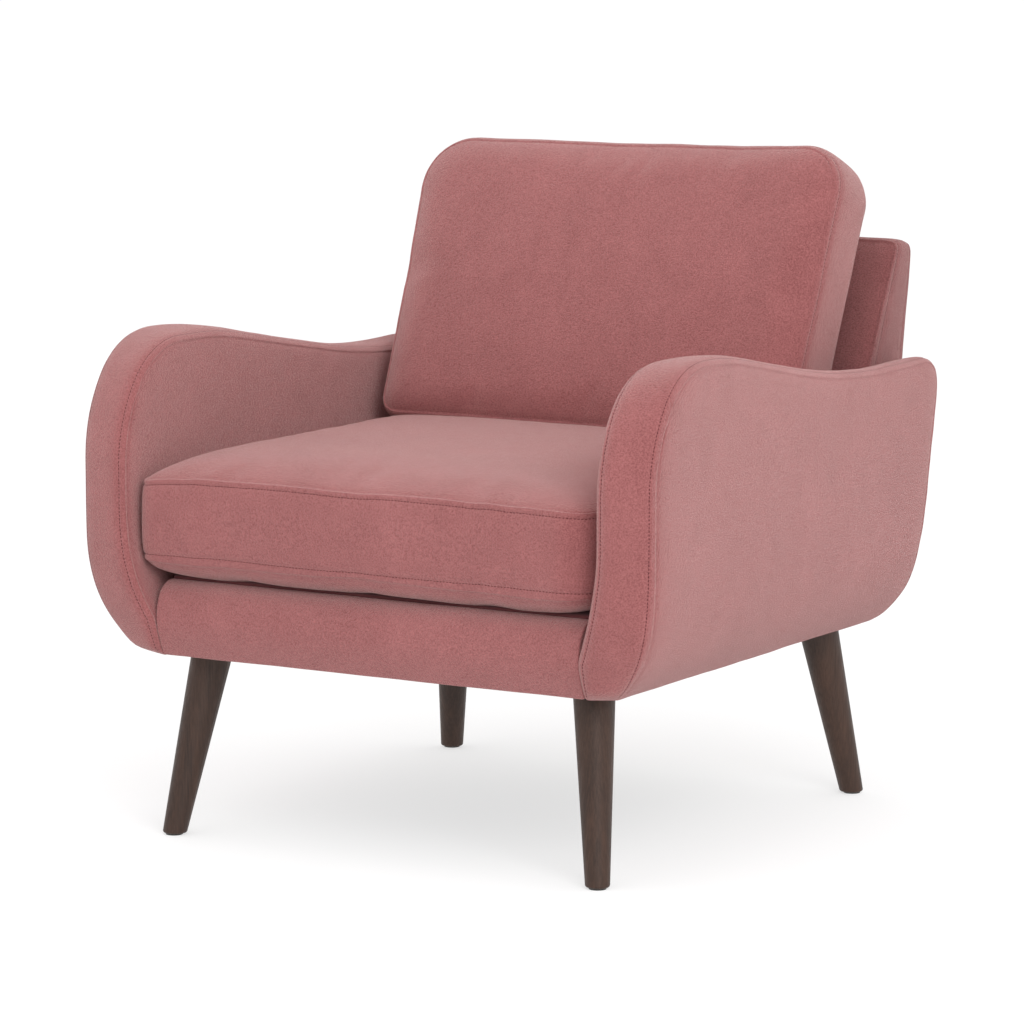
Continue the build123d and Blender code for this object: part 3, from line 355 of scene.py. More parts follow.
def on_line(line: Array, run: Array, places: Array) -> Array:
    """Points at distances along a line of points."""
    return np.stack([np.interp(places, run, line[:, axis]) for axis in range(line.shape[1])], axis=1)


def space(x: Any, y: Any, z: Any) -> Array:
    """Points from their coordinates, any of which may be one number for all."""
    return np.stack(np.broadcast_arrays(x, y, z), axis=1)


def rounded_outline(corners: Sequence[Corner], step: float = 3 * MM) -> Array:
    """Closed outline with its corners rounded.

    Args:
        corners: x, y and radius of each corner, anticlockwise.
        step: distance between points on the round stretches.

    Returns:
        The outline's points, about a step apart all round.
    """
    points: list[Vector] = []
    for index, (x, y, radius) in enumerate(corners):
        here = Vector((x, y))
        before = (Vector(corners[index - 1][:2]) - here).normalized()
        after = (Vector(corners[(index + 1) % len(corners)][:2]) - here).normalized()
        half = before.angle(after) / 2
        centre = here + (before + after).normalized() * radius / math.sin(half)
        start = here + before * radius / math.tan(half) - centre
        end = here + after * radius / math.tan(half) - centre
        turn = start.angle_signed(end)
        count = max(2, math.ceil(abs(turn) * radius / step))
        for number in range(count + 1):
            points.append(centre + start @ Matrix.Rotation(turn * number / count, 2))
    loop = np.array([tuple(point) for point in points] + [tuple(points[0])])
    run = run_of(loop)
    return on_line(loop, run, np.arange(0.0, run[-1], step))


class Patch:
    """Four-sided patch that fills a closed outline."""

    def __init__(self, outline: Array, corners: Sequence[tuple[float, float]]) -> None:
        """Splits the outline nearest the four corners, from the low left one anticlockwise."""
        self.outline = outline
        marks = [int(np.argmin(np.linalg.norm(outline - np.array(corner), axis=1))) for corner in corners]
        sides = [self._side(marks[number], marks[(number + 1) % 4]) for number in range(4)]
        self.low, self.right = sides[0], sides[1]
        self.high, self.left = sides[2][::-1], sides[3][::-1]

    @classmethod
    def box(cls, low: tuple[float, float], high: tuple[float, float],
            radii: Sequence[float]) -> "Patch":
        """Box between two corners; its radii start at the low one and run anticlockwise."""
        marks = (low, (high[0], low[1]), high, (low[0], high[1]))
        return cls(rounded_outline([(*mark, radius) for mark, radius in zip(marks, radii)]), marks)

    def _side(self, first: int, last: int) -> Array:
        """Outline points from one mark to the next."""
        count = len(self.outline)
        length = (last - first) % count
        return self.outline[[(first + number) % count for number in range(length + 1)]]

    @staticmethod
    def _along(side: Array, share: Array) -> Array:
        """Points at shares of a side's length."""
        run = run_of(side)
        return on_line(side, run, share * run[-1])

    def at(self, across: Array, up: Array) -> Array:
        """Flat points of the patch.

        Args:
            across: shares of the way from the left side to the right.
            up: shares of the way from the low side to the high one.

        Returns:
            One point a row.
        """
        s, t = across[:, None], up[:, None]
        low, high = self._along(self.low, across), self._along(self.high, across)
        left, right = self._along(self.left, up), self._along(self.right, up)
        corners = ((1 - s) * (1 - t) * self.low[0] + s * (1 - t) * self.low[-1]
                   + (1 - s) * t * self.high[0] + s * t * self.high[-1])
        return (1 - t) * low + t * high + (1 - s) * left + s * right - corners

    def depth(self, points: Array) -> Array:
        """Distance of each flat point from the outline."""
        nearest = np.full(len(points), np.inf)
        for start in range(0, len(self.outline), 64):
            part = self.outline[start:start + 64]
            gaps = np.linalg.norm(points[:, None, :] - part[None, :, :], axis=2)
            nearest = np.minimum(nearest, gaps.min(axis=1))
        return nearest


def ease(share: Array, power: float) -> Array:
    """Rise from 0 to 1 that starts fast and levels out."""
    return 1 - (1 - np.clip(share, 0, 1)) ** power


def plump(depth: Array, height: float, reach: float) -> Array:
    """Height of a stuffed face above its seam, at a distance from the seam."""
    return height * (1 - np.exp(-depth / reach))


def everywhere(points: Array) -> Array:
    """Full weight at every point."""
    return np.ones(len(points))


def nowhere(points: Array) -> Array:
    """No weight at any point."""
    return np.zeros(len(points))


# ---- Padded forms ----

@dataclass
class SeamDress:
    """How a form's seams are pressed and stitched: a proud bead between the seam and its stitches."""

    groove: float = 1.7 * MM
    ridge: float = 0.9 * MM
    half_width: float = 1.7 * MM
    hold: float = 5 * MM
    stitch_gap: float = 5.6 * MM
    stitch_land: float = 2.2 * MM
    dimple: float = 2.3 * MM
    near_rows: bool = True
    far_rows: bool = True


@dataclass
class Stuffing:
    """Cloth simulation that swells a form from inside."""

    pressure: float = 4.0
    cap: float = 8 * MM
    last_frame: int = 20
    share: float = 0.6


@dataclass
class PaddedForm:
    """Two panels joined by a boxing band, all one closed skin."""

    name: str
    near: Patch
    far: Patch
    lift_near: Lift
    lift_far: Lift
    columns: int
    rows: int
    width: float
    crown: float
    crown_shape: float = 0.55
    crown_edge: float = 3.0
    band_step: float = 10 * MM
    seams: SeamDress = field(default_factory=SeamDress)
    sewn: Weight = everywhere
    crowned: Weight = everywhere
    stuffing: Stuffing | None = None
    wave: float = 0.7 * MM
    wave_length: float = 90 * MM

    def marks(self) -> list[float]:
        """Places of the lines of points across the band, as shares of its width."""
        gap, land = self.seams.stitch_gap, self.seams.stitch_land
        edge = [share / self.width for share in (gap - land, gap, gap + land)]
        inner = 1 - 2 * edge[2]
        count = max(2, round(inner * self.width / self.band_step))
        middle = [edge[2] + inner * number / count for number in range(1, count)]
        return [0.0, *edge, *middle, *(1 - share for share in reversed(edge)), 1.0]

    @staticmethod
    def spaced(share: float, count: int, hold: float) -> float:
        """Share of the way over a panel, with its outermost lines held close to the seam."""
        number = round(share * count)
        if number in (0, count):
            return number / count
        return hold + (1 - 2 * hold) * (number - 1) / (count - 2)

    def grid(self) -> tuple[Mesh, Array]:
        """Joined grids for both panels and the band between them.

        Returns:
            The mesh, and the place of each of its points: across, up and through.
        """
        mesh = bmesh.new()
        layers = [mesh.verts.layers.float.new(key) for key in ("across", "up", "through")]
        bmesh.ops.create_grid(mesh, x_segments=self.columns, y_segments=self.rows, size=0.5)
        size = np.ptp(self.near.outline, axis=0)
        for vert in mesh.verts:
            vert[layers[0]] = self.spaced(vert.co.x + 0.5, self.columns, self.seams.hold / size[0])
            vert[layers[1]] = self.spaced(vert.co.y + 0.5, self.rows, self.seams.hold / size[1])
            vert[layers[2]] = 0.0
        grown = bmesh.ops.extrude_face_region(mesh, geom=mesh.faces[:], use_keep_orig=True)
        for item in grown["geom"]:
            if isinstance(item, bmesh.types.BMVert):
                item[layers[2]] = 1.0
        walls = [edge for edge in mesh.edges
                 if abs(edge.verts[0][layers[2]] - edge.verts[1][layers[2]]) > 0.5]
        bmesh.ops.subdivide_edges(mesh, edges=walls, cuts=len(self.marks()) - 2, use_grid_fill=True)
        panel = mesh.faces.layers.int.new("panel")
        for face in mesh.faces:
            levels = [vert[layers[2]] for vert in face.verts]
            face[panel] = int(max(levels) - min(levels) < NEAR)
        mesh.verts.ensure_lookup_table()
        places = np.array([[vert[layer] for layer in layers] for vert in mesh.verts])
        return mesh, places

    @staticmethod
    def turn_of(places: Array) -> Array:
        """Place round the form, from 0 to 4, of points on its edge."""
        s, t = places[:, 0], places[:, 1]
        return np.select([t < NEAR, s > 1 - NEAR, t > 1 - NEAR], [s, 1 + t, 3 - s], 4 - t)

    def panel(self, patch: Patch, lift: Lift, across: Array, up: Array) -> Array:
        """Points of a panel in space."""
        flat = patch.at(across, up)
        return lift(flat, patch.depth(flat))

    def rim(self, turn: Array) -> tuple[Array, Array]:
        """Seam points of both panels at places round the form, from 0 to 4."""
        turn = np.mod(turn, 4.0)
        side = turn.astype(int)
        part = turn - side
        across = np.select([side == 0, side == 1, side == 2], [part, 1.0, 1 - part], 0.0)
        up = np.select([side == 0, side == 1, side == 2], [0.0, part, 1.0], 1 - part)
        none = np.zeros(len(turn))
        return (self.lift_near(self.near.at(across, up), none),
                self.lift_far(self.far.at(across, up), none))

    def shape(self, places: Array) -> Array:
        """Points in space for places on the form.

        Args:
            places: across, up and through, one point a row.

        Returns:
            The points.
        """
        marks = np.array(self.marks())
        through = marks[np.rint(places[:, 2] * (len(marks) - 1)).astype(int)]
        near = self.panel(self.near, self.lift_near, places[:, 0], places[:, 1])
        far = self.panel(self.far, self.lift_far, places[:, 0], places[:, 1])
        result = near + (far - near) * through[:, None]
        band = (through > 0) & (through < 1)
        turn = self.turn_of(places[band])
        near_edge, far_edge = self.rim(turn)
        ahead, behind = self.rim(turn + 0.01), self.rim(turn - 0.01)
        tangent = (ahead[0] - behind[0]) + (ahead[1] - behind[1])
        outward = np.cross(tangent, far_edge - near_edge)
        outward /= np.linalg.norm(outward, axis=1)[:, None] + 1e-12
        middle = (near_edge + far_edge) / 2
        if np.sum(outward * (middle - middle.mean(axis=0))) < 0:
            outward = -outward
        v = through[band]
        rise = self.crown * (1 - np.abs(2 * v - 1) ** self.crown_edge) ** self.crown_shape
        edge_gap = np.minimum(v, 1 - v) * self.width
        dent = self.seams.dimple * (np.abs(edge_gap - self.seams.stitch_gap) < 0.5 * MM)
        rise = rise * self.crowned(middle) - dent * self.sewn(middle)
        result[band] = near_edge + (far_edge - near_edge) * v[:, None] + outward * rise[:, None]
        return result

    def swell(self, mesh: Mesh, points: Array) -> Array:
        """Points after the stuffing has pushed the skin out."""
        data = bpy.data.meshes.new(self.name + "_slack")
        mesh.to_mesh(data)
        slack = bpy.data.objects.new(self.name + "_slack", data)
        scene = bpy.context.scene
        scene.collection.objects.link(slack)
        cloth = slack.modifiers.new("stuffing", "CLOTH")
        cloth.settings.quality = 5
        cloth.settings.mass = 0.4
        for pull, stiffness in (("tension", 20), ("compression", 20), ("shear", 8), ("bending", 0.8)):
            setattr(cloth.settings, pull + "_stiffness", stiffness)
        cloth.settings.use_pressure = True
        cloth.settings.uniform_pressure_force = self.stuffing.pressure
        cloth.settings.effector_weights.gravity = 0
        cloth.point_cache.frame_start = 1
        cloth.point_cache.frame_end = self.stuffing.last_frame
        for number in range(1, self.stuffing.last_frame + 1):
            scene.frame_set(number)
        settled = slack.evaluated_get(bpy.context.evaluated_depsgraph_get())
        flat = np.empty(len(points) * 3)
        settled.data.vertices.foreach_get("co", flat)
        scene.frame_set(1)
        bpy.data.objects.remove(slack)
        move = (flat.reshape(-1, 3) - points) * self.stuffing.share
        length = np.linalg.norm(move, axis=1)
        return points + move * (np.minimum(length, self.stuffing.cap) / (length + 1e-12))[:, None]

    def ripple(self, mesh: Mesh) -> None:
        """Adds the slight waviness of a hand-pulled cover."""
        mesh.normal_update()
        moves = []
        for vert in mesh.verts:
            swing = noise.noise(vert.co / self.wave_length)
            swing += 0.5 * noise.noise(vert.co * 2.3 / self.wave_length)
            moves.append(vert.normal * swing * self.wave)
        for vert, move in zip(mesh.verts, moves):
            vert.co += move

    def loop(self, places: Array, mark: int) -> list[int]:
        """Indices of the points on one line round the band, in order."""
        last = len(self.marks()) - 1
        line = np.rint(places[:, 2] * last).astype(int) == mark
        edge = (np.abs(places[:, :2] - 0.5) > 0.5 - NEAR).any(axis=1)
        found = np.nonzero(line & edge)[0]
        return [int(index) for index in found[np.argsort(self.turn_of(places[found]))]]

    def press_seams(self, mesh: Mesh, loops: list[list[int]]) -> None:
        """Turns each panel's edge into a proud bead with a groove on the panel's side of it."""
        mesh.verts.ensure_lookup_table()
        panel = mesh.faces.layers.int["panel"]
        pairs = [pair for loop in loops for pair in zip(loop, loop[1:] + loop[:1])]
        seam_edges = [mesh.edges.get([mesh.verts[index] for index in pair]) for pair in pairs]
        strip = bmesh.ops.bevel(mesh, geom=seam_edges, offset=self.seams.half_width, offset_type="OFFSET",
                                segments=2, profile=0.5, affect="EDGES", material=-1, clamp_overlap=False)
        mesh.normal_update()
        faces = set(strip["faces"])
        verts = {vert for face in faces for vert in face.verts}
        weights = self.sewn(np.array([vert.co for vert in verts]))
        for vert, weight in zip(verts, weights):
            beside = [face for face in vert.link_faces if face not in faces]
            if not beside:
                vert.co += vert.normal * self.seams.ridge * float(weight)
            elif all(face[panel] for face in beside):
                vert.co -= vert.normal * self.seams.groove * float(weight)

    def build(self) -> tuple[Piece, list[Array]]:
        """Builds the form.

        Returns:
            The finished piece, and the points of each line of stitches.
        """
        mesh, places = self.grid()
        points = self.shape(places)
        for vert, point in zip(mesh.verts, points):
            vert.co = point
        bmesh.ops.recalc_face_normals(mesh, faces=mesh.faces[:])
        if self.stuffing is not None:
            for vert, point in zip(mesh.verts, self.swell(mesh, points)):
                vert.co = point
        self.ripple(mesh)
        last = len(self.marks()) - 1
        rows = []
        for wanted, mark in ((self.seams.near_rows, 2), (self.seams.far_rows, last - 2)):
            if wanted:
                rows.append(np.array([mesh.verts[index].co for index in self.loop(places, mark)]))
        self.press_seams(mesh, [self.loop(places, 0), self.loop(places, last)])
        bmesh.ops.recalc_face_normals(mesh, faces=mesh.faces[:])
        return finished_piece(self.name, mesh, smooth_levels=1), rows


def finished_piece(name: str, mesh: Mesh, smooth_levels: int = 0) -> Piece:
    """Object from a bmesh, smoothly shaded and with its subdivision applied.

    Args:
        name: the piece's name.
        mesh: its shape, in place.
        smooth_levels: rounds of subdivision.

    Returns:
        The object, at the origin.
    """
    data = bpy.data.meshes.new(name)
    mesh.to_mesh(data)
    mesh.free()
    piece = bpy.data.objects.new(name, data)
    bpy.context.scene.collection.objects.link(piece)
    if smooth_levels:
        smoother = piece.modifiers.new("round", "SUBSURF")
        smoother.levels = smooth_levels
        smoother.render_levels = smooth_levels
        graph = bpy.context.evaluated_depsgraph_get()
        piece.data = bpy.data.meshes.new_from_object(piece.evaluated_get(graph))
        piece.data.name = name
        piece.modifiers.clear()
    piece.data.shade_smooth()
    return piece


@dataclass
class Stitching:
    """Rows of top-stitches, each one a short sunk lozenge of thread."""

    name: str
    pitch: float = 4.2 * MM
    length: float = 3.6 * MM
    thickness: float = 1.3 * MM
    sink: float = 0.25 * MM

    def build(self, cover: Piece, rows: Iterable[Array],
              sewn: Weight) -> Piece:
        """Sews rows of stitches into a cover.

        Args:
            cover: the piece that is sewn.
            rows: closed lines of points near its skin.
            sewn: how much of a seam there is at each point, from 0 to 1.

        Returns:
            The stitches, as one piece.
        """
        graph = bpy.context.evaluated_depsgraph_get()
        skin = BVHTree.FromObject(cover, graph)
        thread = bmesh.new()
        for row in rows:
            closed = np.vstack([row, row[:1]])
            run = run_of(closed)
            count = round(run[-1] / self.pitch)
            middles = (np.arange(count) + 0.5) * run[-1] / count
            spots, ahead = on_line(closed, run, middles), on_line(closed, run, middles + MM)
            for spot, onward, weight in zip(spots, ahead, sewn(spots)):
                if weight > 0.5:
                    self._stitch(thread, skin, Vector(spot), Vector(onward))
        return finished_piece(self.name, thread)

    def _stitch(self, thread: Mesh, skin: BVHTree, spot: Vector, onward: Vector) -> None:
        """Adds one stitch on the skin at a spot, pointing onward."""
        place, normal, _, _ = skin.find_nearest(spot)
        along = (onward - spot).normalized()
        along = (along - normal * along.dot(normal)).normalized()
        side = normal.cross(along)
        turn = Matrix((along, side, normal)).transposed().to_4x4()
        size = Matrix.Diagonal((self.length / 2, self.thickness / 2, self.thickness / 2, 1.0))
        where = Matrix.Translation(place - normal * self.sink)
        bmesh.ops.create_icosphere(thread, subdivisions=1, radius=1.0, matrix=where @ turn @ size)


# ---- Sub-assemblies ----

class Side(Enum):
    """The two arms, by their sign along X."""

    RIGHT = 1
    LEFT = -1


@dataclass
class Workshop:
    """What every sub-assembly needs: the finishes and a log of pieces."""

    finishes: Finishes
    made: list[str] = field(default_factory=list)

    def fit(self, piece: Piece, body: str, slot: str, finish: str | None = None,
            nodes: Sequence[str] = (), fill: float | None = None) -> Piece:
        """Dresses a piece and gives it its place in the model.

        Args:
            piece: the finished piece.
            body: the CAD body it moves with.
            slot: the record's material slot.
            finish: the finish, where it isn't the slot's own.
            nodes: the CAD nodes that the piece stands for.
            fill: how tightly it is stuffed, for a padded piece; not used.

        Returns:
            The same piece.
        """
        self.finishes.dress(piece, finish or slot)
        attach(piece, body)
        if nodes:
            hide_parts(*nodes)
        self.made.append(piece.name)
        LOG.info("%s rides on %s", piece.name, body)
        return piece

    def upholster(self, form: PaddedForm, body: str, nodes: Sequence[str], fill: float,
                  finish: str = "velvet") -> None:
        """Builds a padded form with its stitches.

        Args:
            form: the form.
            body: the CAD body it moves with.
            nodes: the CAD nodes that it stands for.
            fill: how tightly it is stuffed.
            finish: which velvet covers it.
        """
        cover, rows = form.build()
        self.fit(cover, body, "velvet", finish, nodes, fill)
        if rows:
            stitches = Stitching(form.name + "_stitches").build(cover, rows, form.sewn)
            self.fit(stitches, body, "velvet", "thread")


@dataclass
class ArmEdge:
    """Side view of one seam of the arm, from sizes that start at the arm's own corners."""

    front: float
    tail: float
    foot: float
    top: float
    dip: float
    crest_run: float
    dip_run: float
    toe: float = 28.5 * MM
    chin: float = 75 * MM
    brow: float = 87.5 * MM
    shoulder: float = 61 * MM
    waist_in: float = 45 * MM
    waist_up: float = 93 * MM
    heel_in: float = 38 * MM
    tail_rise: float = 5 * MM
    toe_radius: float = 8 * MM
    heel_radius: float = 14 * MM
    waist_radius: float = 90 * MM
    tail_radius: float = 30 * MM
    dip_radius: float = 1200 * MM
    crest_radius: float = 490 * MM
    shoulder_radius: float = 105 * MM
    brow_radius: float = 160 * MM
    chin_radius: float = 320 * MM

    def patch(self) -> Patch:
        """The panel inside this seam."""
        corners = (
            (self.front + self.toe, self.foot, self.toe_radius),
            (self.tail - self.heel_in, self.foot, self.heel_radius),
            (self.tail - self.waist_in, self.foot + self.waist_up, self.waist_radius),
            (self.tail, self.dip + self.tail_rise, self.tail_radius),
            (self.tail - self.dip_run, self.dip, self.dip_radius),
            (self.front + self.crest_run, self.top, self.crest_radius),
            (self.front + self.shoulder, self.top, self.shoulder_radius),
            (self.front, self.top - self.brow, self.brow_radius),
            (self.front, self.foot + self.chin, self.chin_radius),
        )
        marks = ((self.front + self.toe, self.foot), (self.tail - self.heel_in, self.foot),
                 (self.tail, self.dip + self.tail_rise), (self.front, self.top))
        return Patch(rounded_outline(corners), marks)


@dataclass(frozen=True)
class Stance:
    """How one arm differs from the other, as worn chairs' arms do."""

    slump: float = 0.0
    spread: float = 0.0
    peak: float = 2 * MM
    shoulder: float = 52 * MM


STANCES = {Side.RIGHT: Stance(), Side.LEFT: Stance(16 * MM, 4 * MM, -2 * MM, 61 * MM)}


@dataclass
class Arm:
    """One upholstered arm: inner panel, outer panel and the band that runs round the edge."""

    side: Side
    workshop: Workshop
    inner_plane: float = 314.7 * MM
    inner_lean: float = 30.7 * MM
    inner_power: float = 2.2
    outer_tuck: float = 65 * MM
    outer_power: float = 3.8
    swell_inner: float = 3.5 * MM
    swell_outer: float = 4.5 * MM
    foot_drop: float = 1.5 * MM
    crest: float = 578 * MM
    dip: float = 512 * MM

    def build(self) -> None:
        """Builds the arm."""
        name = self.side.name.lower()
        stance = STANCES[self.side]
        low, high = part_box(name + "_arm_boxing")
        outer_plane = max(abs(low.x), abs(high.x)) + stance.spread
        sign = self.side.value
        foot = low.z - self.foot_drop

        def inner(flat: Array, depth: Array) -> Array:
            """The face towards the seat."""
            y, z = flat.T
            rise = ease((z - FACE_TOP) / (HIP - FACE_TOP), self.inner_power)
            x = self.inner_plane - self.inner_lean * (1 - rise) - plump(depth, self.swell_inner, PAD_REACH)
            return space(sign * x, y, z)

        def outer(flat: Array, depth: Array) -> Array:
            """The face away from the seat."""
            y, z = flat.T
            rise = ease((z - foot) / (HIP - foot), self.outer_power)
            x = outer_plane - self.outer_tuck * (1 - rise) + plump(depth, self.swell_outer, PAD_REACH)
            return space(sign * x, y, z)

        def above_foot(points: Array) -> Array:
            """Everywhere but along the underside."""
            return np.clip((points[:, 2] - foot - 3 * MM) / (6 * MM), 0, 1)

        inner_edge = ArmEdge(front=low.y - 2 * MM, tail=high.y + 3 * MM, foot=foot,
                             top=self.crest + stance.peak, dip=self.dip, crest_run=191 * MM,
                             dip_run=155 * MM, tail_rise=9 * MM, shoulder=stance.shoulder)
        outer_edge = ArmEdge(front=low.y + 16 * MM, tail=high.y + 4 * MM, foot=foot,
                             top=self.crest + 5.5 * MM + stance.peak,
                             dip=self.dip + 19 * MM - stance.slump, crest_run=167.5 * MM,
                             dip_run=249.5 * MM)
        form = PaddedForm(
            name=f"{name}_arm_upholstery",
            near=inner_edge.patch(),
            far=outer_edge.patch(),
            lift_near=inner,
            lift_far=outer,
            columns=76,
            rows=38,
            width=outer_plane - self.inner_plane,
            crown=10 * MM,
            crown_shape=0.5,
            crown_edge=4.0,
            sewn=above_foot,
            crowned=above_foot,
        )
        parts = ("inner_pad", "edge_pad", "outer_pad", "inner_cover", "outer_cover", "boxing")
        self.workshop.upholster(form, "frame", [f"{name}_arm_{part}" for part in parts], 0.9)


@dataclass
class SeatCushion:
    """Loose box cushion with a crowned top."""

    workshop: Workshop
    seam_top: float = 430 * MM
    slack: float = 1.5 * MM
    left_slack: float = 6.5 * MM
    seam_bottom: float = 332 * MM
    left_droop: float = 8 * MM
    right_droop: float = 7 * MM
    radii: tuple[float, ...] = (12 * MM, 46 * MM, 24 * MM, 24 * MM)
    droop_reach: float = 45 * MM
    edge_rise: float = 10 * MM
    crown_rise: float = 12.5 * MM
    crown_front: float = 120 * MM
    crown_back: float = 430 * MM
    left_power: float = 4.0
    right_power: float = 2.2
    belly: float = 13 * MM
    belly_reach: float = 6 * MM
    sag: float = 6 * MM

    def build(self) -> None:
        """Builds the cushion."""
        low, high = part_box("seat_cover")
        half = high.x + self.slack
        left = low.x - self.left_slack
        patch = Patch.box((left, low.y), (half, high.y), self.radii)

        def droop(flat: Array) -> Array:
            """How far the front corners hang."""
            x, y = flat.T
            gaps = np.hypot(np.abs(x) - half, y - low.y)
            hang = np.where(x < 0, self.left_droop, self.right_droop)
            return hang * np.exp(-gaps / self.droop_reach)

        def top(flat: Array, depth: Array) -> Array:
            """The sitting face."""
            x, y = flat.T
            power = np.where(x < 0, self.left_power, self.right_power)
            width = 1 - np.clip(np.abs(x) / half, 0, 1) ** power
            ahead = np.clip((y - low.y) / self.crown_front, 0, 1)
            behind = np.clip((high.y - y) / self.crown_back, 0, 1)
            crown = self.crown_rise * width * np.sin(ahead * math.pi / 2)
            crown = crown * np.sin(behind * math.pi / 2) ** 0.7
            z = self.seam_top - droop(flat) + plump(depth, self.edge_rise, CUSHION_REACH) + crown
            return space(x, y, z)

        def bottom(flat: Array, depth: Array) -> Array:
            """The face on the deck."""
            x, y = flat.T
            width = 1 - np.clip(np.abs(x) / half, 0, 1) ** 6
            z = self.seam_bottom - plump(depth, self.belly + self.sag * width, self.belly_reach)
            return space(x, y, z)

        form = PaddedForm(
            name="seat_cushion_case",
            near=patch,
            far=patch,
            lift_near=top,
            lift_far=bottom,
            columns=68,
            rows=68,
            width=self.seam_top - self.seam_bottom,
            crown=4 * MM,
            stuffing=Stuffing(),
        )
        self.workshop.upholster(form, "seat_cushion", ("seat_cover", "seat_foam"), 0.75)


@dataclass
class BackCushion:
    """Loose cushion that leans on the back frame."""

    workshop: Workshop
    rake: float = 22.0
    thickness: float = 83 * MM
    top_left_radius: float = 66 * MM
    top_right_radius: float = 54 * MM
    slack: float = 2 * MM
    top_lift: float = 6.5 * MM
    top_tilt: float = 3.5 * MM
    bottom_radius: float = 22 * MM
    bottom_in: float = 8 * MM
    front_rise: float = 9 * MM
    front_crown: float = 11 * MM
    rear_rise: float = 6 * MM
    rear_crown: float = 4 * MM
    top_inset: float = 5 * MM

    def build(self) -> None:
        """Builds the cushion."""
        low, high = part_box("back_cushion_cover")
        lean = math.radians(self.rake)
        up = Vector((0, math.sin(lean), math.cos(lean)))
        back = Vector((0, math.cos(lean), -math.sin(lean)))
        foot = Vector((0, low.y, low.z))
        height = (high.z - low.z) / math.cos(lean) - self.top_inset
        half = high.x + self.slack
        outline = rounded_outline((
            (-half + self.bottom_in, 0.0, self.bottom_radius),
            (half - self.bottom_in, 0.0, self.bottom_radius),
            (half, height, self.top_right_radius),
            (-half, height, self.top_left_radius),
        ))
        patch = Patch(outline, ((-half, 0.0), (half, 0.0), (half, height), (-half, height)))

        def place(flat: Array, depth: Array) -> Array:
            """Points on the raked plane, moved back by a depth."""
            x, rise = flat.T
            rise = rise + (self.top_lift + self.top_tilt * x / half) * np.clip(rise / height, 0, 1)
            return space(x, foot.y + rise * up.y + depth * back.y, foot.z + rise * up.z + depth * back.z)

        def dome(flat: Array) -> Array:
            """Share of the full crown at each point."""
            x, rise = flat.T
            width = 1 - np.clip(np.abs(x) / half, 0, 1) ** 2.4
            return width * np.sin(np.clip(rise / height, 0, 1) * math.pi) ** 0.7

        def front(flat: Array, depth: Array) -> Array:
            """The face that is leaned on."""
            rise = plump(depth, self.front_rise, CUSHION_REACH)
            return place(flat, -rise - self.front_crown * dome(flat))

        def rear(flat: Array, depth: Array) -> Array:
            """The face on the back frame."""
            rise = plump(depth, self.rear_rise, CUSHION_REACH)
            return place(flat, self.thickness + rise + self.rear_crown * dome(flat))

        form = PaddedForm(
            name="back_cushion_case",
            near=patch,
            far=patch,
            lift_near=front,
            lift_far=rear,
            columns=66,
            rows=44,
            width=self.thickness,
            crown=8 * MM,
            crown_shape=0.5,
            crown_edge=4.0,
            stuffing=Stuffing(),
        )
        self.workshop.upholster(form, "back_cushion", ("back_cushion_cover", "back_cushion_fill"), 0.7)


@dataclass
class BackFrame:
    """Upholstered back between the arms."""

    workshop: Workshop
    lean_depth: float = 29.7 * MM
    hip_front: float = 230 * MM
    hip_height: float = 436 * MM
    top_front: float = 349 * MM
    front_rise: float = 2 * MM
    front_swell: float = 5 * MM
    rear_foot: float = 322 * MM
    rear_drop: float = 3 * MM
    rear_swell: float = 3.5 * MM
    top_radius: float = 10 * MM
    foot_radius: float = 4 * MM
    seam_foot: float = 325 * MM

    def build(self) -> None:
        """Builds the back."""
        low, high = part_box("back_boxing")
        outside_low, outside_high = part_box("back_outside_cover")
        half = high.x
        foot, top = outside_low.z, high.z
        slope = (high.y - self.rear_foot) / (top - foot)

        def narrowed(x: Array, z: Array) -> Array:
            """Distances from the middle, narrowed between the feet of the arms."""
            rise = ease((z - FACE_TOP) / (HIP - FACE_TOP), Arm.inner_power)
            return x * (1 - self.lean_depth / half * (1 - rise))

        def front(flat: Array, depth: Array) -> Array:
            """The face behind the back cushion."""
            x, z = flat.T
            above = np.clip((z - self.hip_height) / (top - self.hip_height), 0, 1)
            y = self.hip_front + (self.top_front - self.hip_front) * above
            return space(narrowed(x, z), y - plump(depth, self.front_swell, PAD_REACH), z)

        def rear(flat: Array, depth: Array) -> Array:
            """The outside back."""
            x, z = flat.T
            y = self.rear_foot + slope * (z - foot) + plump(depth, self.rear_swell, PAD_REACH)
            return space(narrowed(x, z), y, z)

        radii = (self.foot_radius, self.foot_radius, self.top_radius, self.top_radius)

        def above_seat(points: Array) -> Array:
            """Everywhere but along the bottom edges."""
            return np.clip((points[:, 2] - self.seam_foot) / (8 * MM), 0, 1)

        form = PaddedForm(
            name="back_upholstery",
            near=Patch.box((-half, low.z), (half, top + self.front_rise), radii),
            far=Patch.box((-half, foot), (half, top - self.rear_drop), radii),
            lift_near=front,
            lift_far=rear,
            columns=64,
            rows=40,
            width=40 * MM,
            crown=3.5 * MM,
            band_step=8 * MM,
            seams=SeamDress(far_rows=False),
            sewn=above_seat,
            crowned=above_seat,
        )
        nodes = ("back_front_cover", "back_outside_cover", "back_boxing", "back_front_pad", "back_edge_pad")
        # The back is covered in the darker velvet copy: painted shade for the shadow of the back cushion.
        self.workshop.upholster(form, "frame", nodes, 0.9, "velvet_down")


